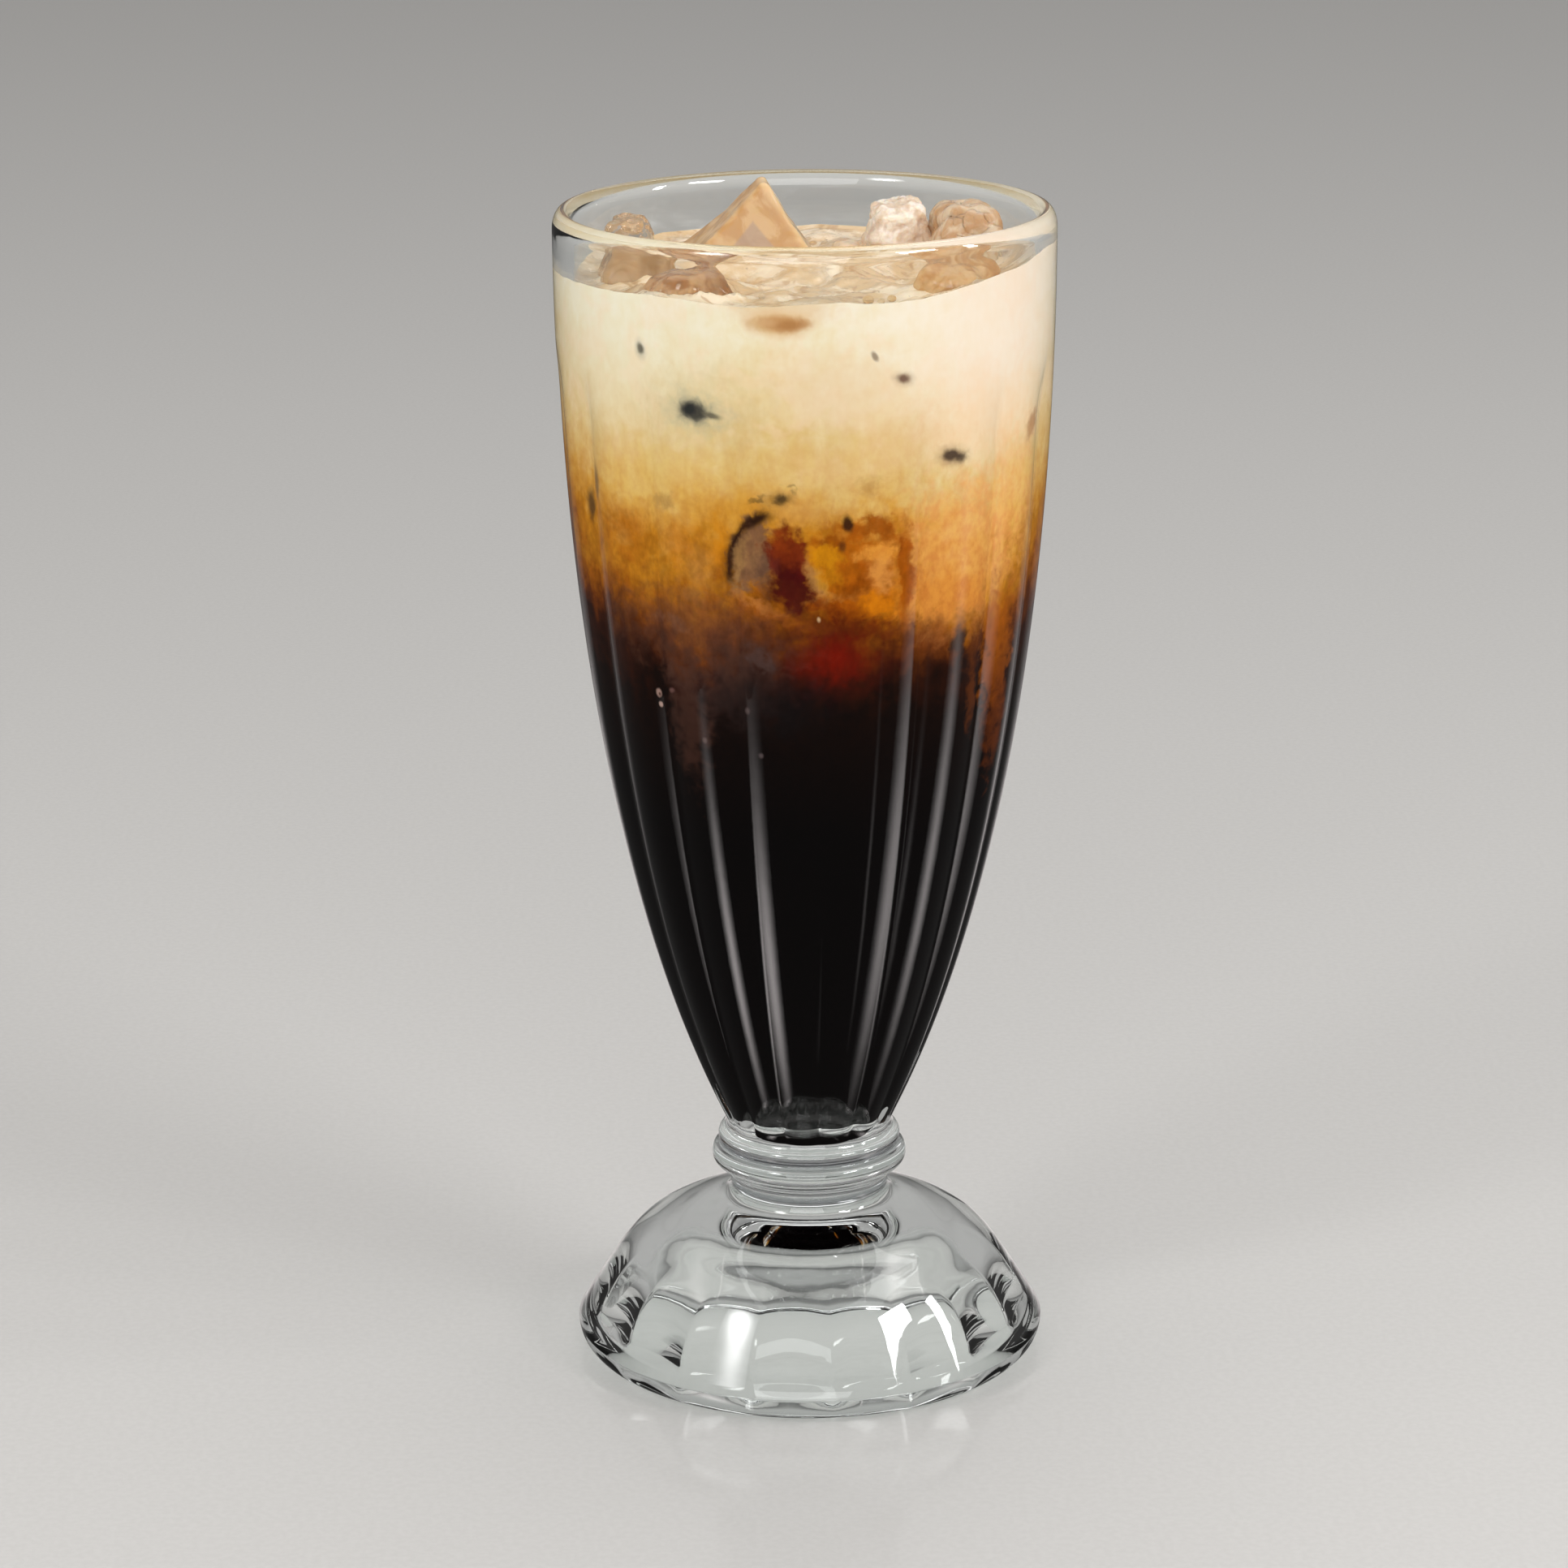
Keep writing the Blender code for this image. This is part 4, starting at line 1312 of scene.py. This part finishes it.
@dataclass
class Bubbles:
    """Small bubbles that ring the ice and cling to the milk's surface, joined into one piece.

    spots_mm holds the x, the y and the radius of each.
    """

    level: float = 0.1822
    flatness: float = 0.8
    spots_mm: tuple = (
        (0.6, 24.5, 1.0), (2.4, 26.0, 0.8), (4.4, 26.3, 0.9), (6.2, 25.2, 0.8), (6.9, 23.2, 1.0),
        (5.6, 21.6, 0.8), (3.4, 21.0, 0.9), (1.4, 22.2, 0.7), (-2.0, -30.5, 0.7), (9.5, -27.5, 0.9),
        (11.4, -28.6, 0.6), (13.0, -26.5, 0.7), (-6.5, -24.0, 0.6), (30.5, -6.0, 0.7),
        (-31.0, 14.5, 0.8), (17.5, 24.5, 0.8), (-14.0, 25.5, 0.7),
    )

    def finish(self) -> bpy.types.Material:
        """Makes the bubbles' thin, milky skin.

        Returns:
            The material.
        """
        material, wires, shader = new_finish("bubble_skin")
        tint = wires.span(wires.cloud(wires.place_mm(), 1.5, 2.0), 0.35, 0.65)
        wires.feed(shader, {
            "Base Color": wires.mix(tint, tone(250, 240, 222), tone(232, 206, 164)),
            "Roughness": 0.05, "Transmission Weight": 0.85, "IOR": 1.2,
        })
        return material

    def build(self) -> bpy.types.Object:
        """Models a bubble on every spot and joins them.

        Returns:
            The bubbles.
        """
        made = []
        for x, y, radius in self.spots_mm:
            Bench.clear()
            spot = (x * MM, y * MM, self.level)
            size = radius * MM
            bpy.ops.mesh.primitive_uv_sphere_add(segments=20, ring_count=12, radius=size, location=spot)
            made.append(bpy.context.object)
            with Bench.editing():
                bpy.ops.transform.resize(value=(1.0, 1.0, self.flatness), center_override=spot)
            bpy.ops.object.transform_apply(location=True, rotation=True, scale=True)
            bpy.ops.object.shade_smooth()
        for bubble in made:
            bubble.select_set(True)
        bpy.context.view_layer.objects.active = made[0]
        bpy.ops.object.join()
        piece = bpy.context.object
        piece.name = "bubbles"
        piece.data.materials.append(self.finish())
        return piece


@dataclass
class Studio:
    """The pale floor, the soft lights and the camera.

    focal_px is the camera's focal length in the photograph's pixels, and frame_px the photograph's width.
    The camera stands at distance in front of the glass. The lights aim at a point centre above the floor.
    """

    focal_px: float = 5900.0
    frame_px: float = 1932.0
    distance: float = 0.7529
    camera_height: float = 0.3137
    pitch: float = math.radians(16.06)
    yaw: float = math.radians(0.29)
    roll: float = math.radians(-0.36)
    sensor_mm: float = 36.0
    centre: float = 0.09
    edge_softness: float = 0.30

    def build_floor(self) -> bpy.types.Object:
        """Lays a wide flat floor, which mirrors nothing into the glass.

        Returns:
            The floor.
        """
        Bench.clear()
        bpy.ops.mesh.primitive_plane_add(size=6.0, location=(0.0, 0.0, 0.0))
        floor = bpy.context.object
        floor.name = "studio_floor"
        material, wires, shader = new_finish("studio_floor")
        shade = wires.span(wires.cloud(wires.place_mm(), 1.2), 0.3, 0.7)
        wires.feed(shader, {
            "Base Color": wires.mix(shade, (0.56, 0.547, 0.530), (0.59, 0.577, 0.560)),
            "Roughness": 0.5, "Coat Weight": 0.6, "Coat Roughness": 0.10,
        })
        floor.data.materials.append(material)
        floor.visible_glossy = False
        return floor

    def add_panel(
        self, name: str, azimuth: float, elevation: float, distance: float, size: Point, radiance: float
    ) -> bpy.types.Object:
        """Adds a soft panel light that faces the drink.

        Args:
            name: The light's name.
            azimuth: Where it stands round the drink, in degrees.
            elevation: How high it stands, in degrees.
            distance: How far it is from the drink.
            size: Its width and height.
            radiance: How bright it looks.

        Returns:
            The light.
        """
        data = bpy.data.lights.new(name, "AREA")
        data.shape = "RECTANGLE"
        data.size, data.size_y = size
        data.energy = radiance * size[0] * size[1] * math.pi
        light = Bench.placed(name, data)
        a, e = math.radians(azimuth), math.radians(elevation)
        towards = Vector((math.sin(a) * math.cos(e), -math.cos(a) * math.cos(e), math.sin(e)))
        light.location = Vector((0.0, 0.0, self.centre)) + towards * distance
        light.rotation_euler = towards.to_track_quat("Z", "Y").to_euler()
        return light

    def add_side_fill(self, name: str, azimuth: float, radiance: float) -> None:
        """Adds a large panel at the side that only brightens the drink, and leaves no mark on the glass.

        Args:
            name: The light's name.
            azimuth: Where it stands round the drink, in degrees.
            radiance: How bright it is.
        """
        light = self.add_panel(name, azimuth, 12.0, 2.8, (1.575, 1.575), radiance)
        light.visible_glossy = False
        light.visible_transmission = False
        light.visible_camera = False

    def add_gleam(self, name: str, azimuth: float, elevation: float, size: Point, radiance: float) -> None:
        """Adds a soft gleam, as on a glossy floor, which only the glass's outside mirrors.

        Args:
            name: The light's name.
            azimuth: Where it lies round the drink, in degrees.
            elevation: How high it stands, in degrees, below zero for under the floor.
            size: Its width and height.
            radiance: How bright it looks.
        """
        light = self.add_panel(name, azimuth, elevation, 1.0, size, radiance)
        light.data.use_shadow = False
        light.visible_camera = False
        light.visible_diffuse = False
        light.visible_transmission = False
        light.data.color = (1.0, 0.93, 0.92)
        self.soften_edges(light)

    def soften_edges(self, light: bpy.types.Object) -> None:
        """Lets a panel fade out towards its edges.

        Args:
            light: The panel.
        """
        light.data.use_nodes = True
        wires = Wiring(light.data.node_tree)
        sides = wires.split(wires.add("NewGeometry").outputs["Parametric"])[:2]
        faded = wires.times(*(wires.bell(side, 0.5, self.edge_softness) for side in sides))
        wires.feed(light.data.node_tree.nodes["Emission"], {"Strength": faded})

    def build_lights(self) -> None:
        """Adds the panels round the camera, a wide one above it, one overhead, and an even surrounding."""
        self.soften_edges(self.add_panel("left_panel", -46.0, 37.0, 1.1, (0.34, 0.28), 34.0))
        self.add_panel("right_panel", 56.0, 35.5, 1.1, (0.32, 0.15), 27.0)
        self.add_panel("side_panel", 83.0, 27.0, 1.1, (0.10, 0.20), 26.0)
        self.add_panel("front_fill", -4.0, 23.0, 1.6, (1.3, 0.8), 2.9)
        self.add_side_fill("left_fill", -85.0, 2.7)
        self.add_side_fill("right_fill", 100.0, 1.3)
        self.add_panel("top_panel", 170.0, 72.0, 1.5, (1.2, 1.0), 1.5)
        self.add_gleam("left_gleam", -57.0, -46.0, (0.36, 0.76), 5.0)
        self.add_gleam("right_gleam", 84.0, -35.0, (0.46, 0.80), 3.1)
        self.add_gleam("middle_gleam", 44.0, -40.0, (0.12, 0.60), 0.6)
        self.add_gleam("edge_gleam", 180.0, -21.0, (1.8, 0.34), 0.8)
        world = bpy.data.worlds.new("studio")
        bpy.context.scene.world = world
        world.use_nodes = True
        wires = Wiring(world.node_tree)
        height = wires.split(wires.add("TexCoord").outputs["Generated"])["Z"]
        wires.feed(world.node_tree.nodes["Background"], {
            "Color": (1.0, 0.985, 0.965), "Strength": wires.span(height, -0.10, 0.25, (0.07, 0.42)),
        })

    def build_camera(self) -> None:
        """Sets the camera at the photograph's viewing angle."""
        data = bpy.data.cameras.new("camera")
        data.sensor_width = self.sensor_mm
        data.lens = self.sensor_mm * self.focal_px / self.frame_px
        data.clip_start, data.clip_end = 0.01, 20.0
        camera = Bench.placed("camera", data)
        camera.location = (0.0, -self.distance, self.camera_height)
        turns = ((0.0, 0.0, self.yaw), (math.pi / 2 - self.pitch, 0.0, 0.0), (0.0, 0.0, self.roll))
        yaw, pitch, roll = (Euler(turn).to_matrix() for turn in turns)
        camera.rotation_euler = (yaw @ pitch @ roll).to_euler()
        bpy.context.scene.camera = camera

    def build(self) -> None:
        """Sets up the whole studio."""
        self.build_floor()
        self.build_lights()
        self.build_camera()
        bpy.context.scene.view_settings.view_transform = "Standard"


def keep(piece: bpy.types.Object, slot: str, *nodes: str) -> None:
    """Rides a piece on the one body, hides the nodes it stands for and reports it.

    Args:
        piece: The piece.
        slot: Not used.
        nodes: The nodes that it stands for.
    """
    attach(piece, "root")
    if nodes:
        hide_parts(*nodes)
    log.info("%s: %d faces", piece.name, len(piece.data.polygons))


def main() -> None:
    """Builds every piece in order."""
    logging.basicConfig(level=logging.INFO, format="%(message)s")
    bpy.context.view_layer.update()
    Bench.clear()
    for group in (BlotGroup(), MarblingGroup(), WavesGroup()):
        group.build()
    glass = FountainGlass()
    keep(glass.build(), "clear_glass", "glass")
    drink = Drink(glass)
    for layer in Layer:
        keep(drink.build_layer(layer, ICE_PIECES), layer.value.slot, layer.value.node)
    for ice in ICE_PIECES:
        keep(ice.build(), "ice", ice.node)
    keep(Bubbles().build(), "milk")
    Studio().build()


if __name__ == "__main__":
    main()
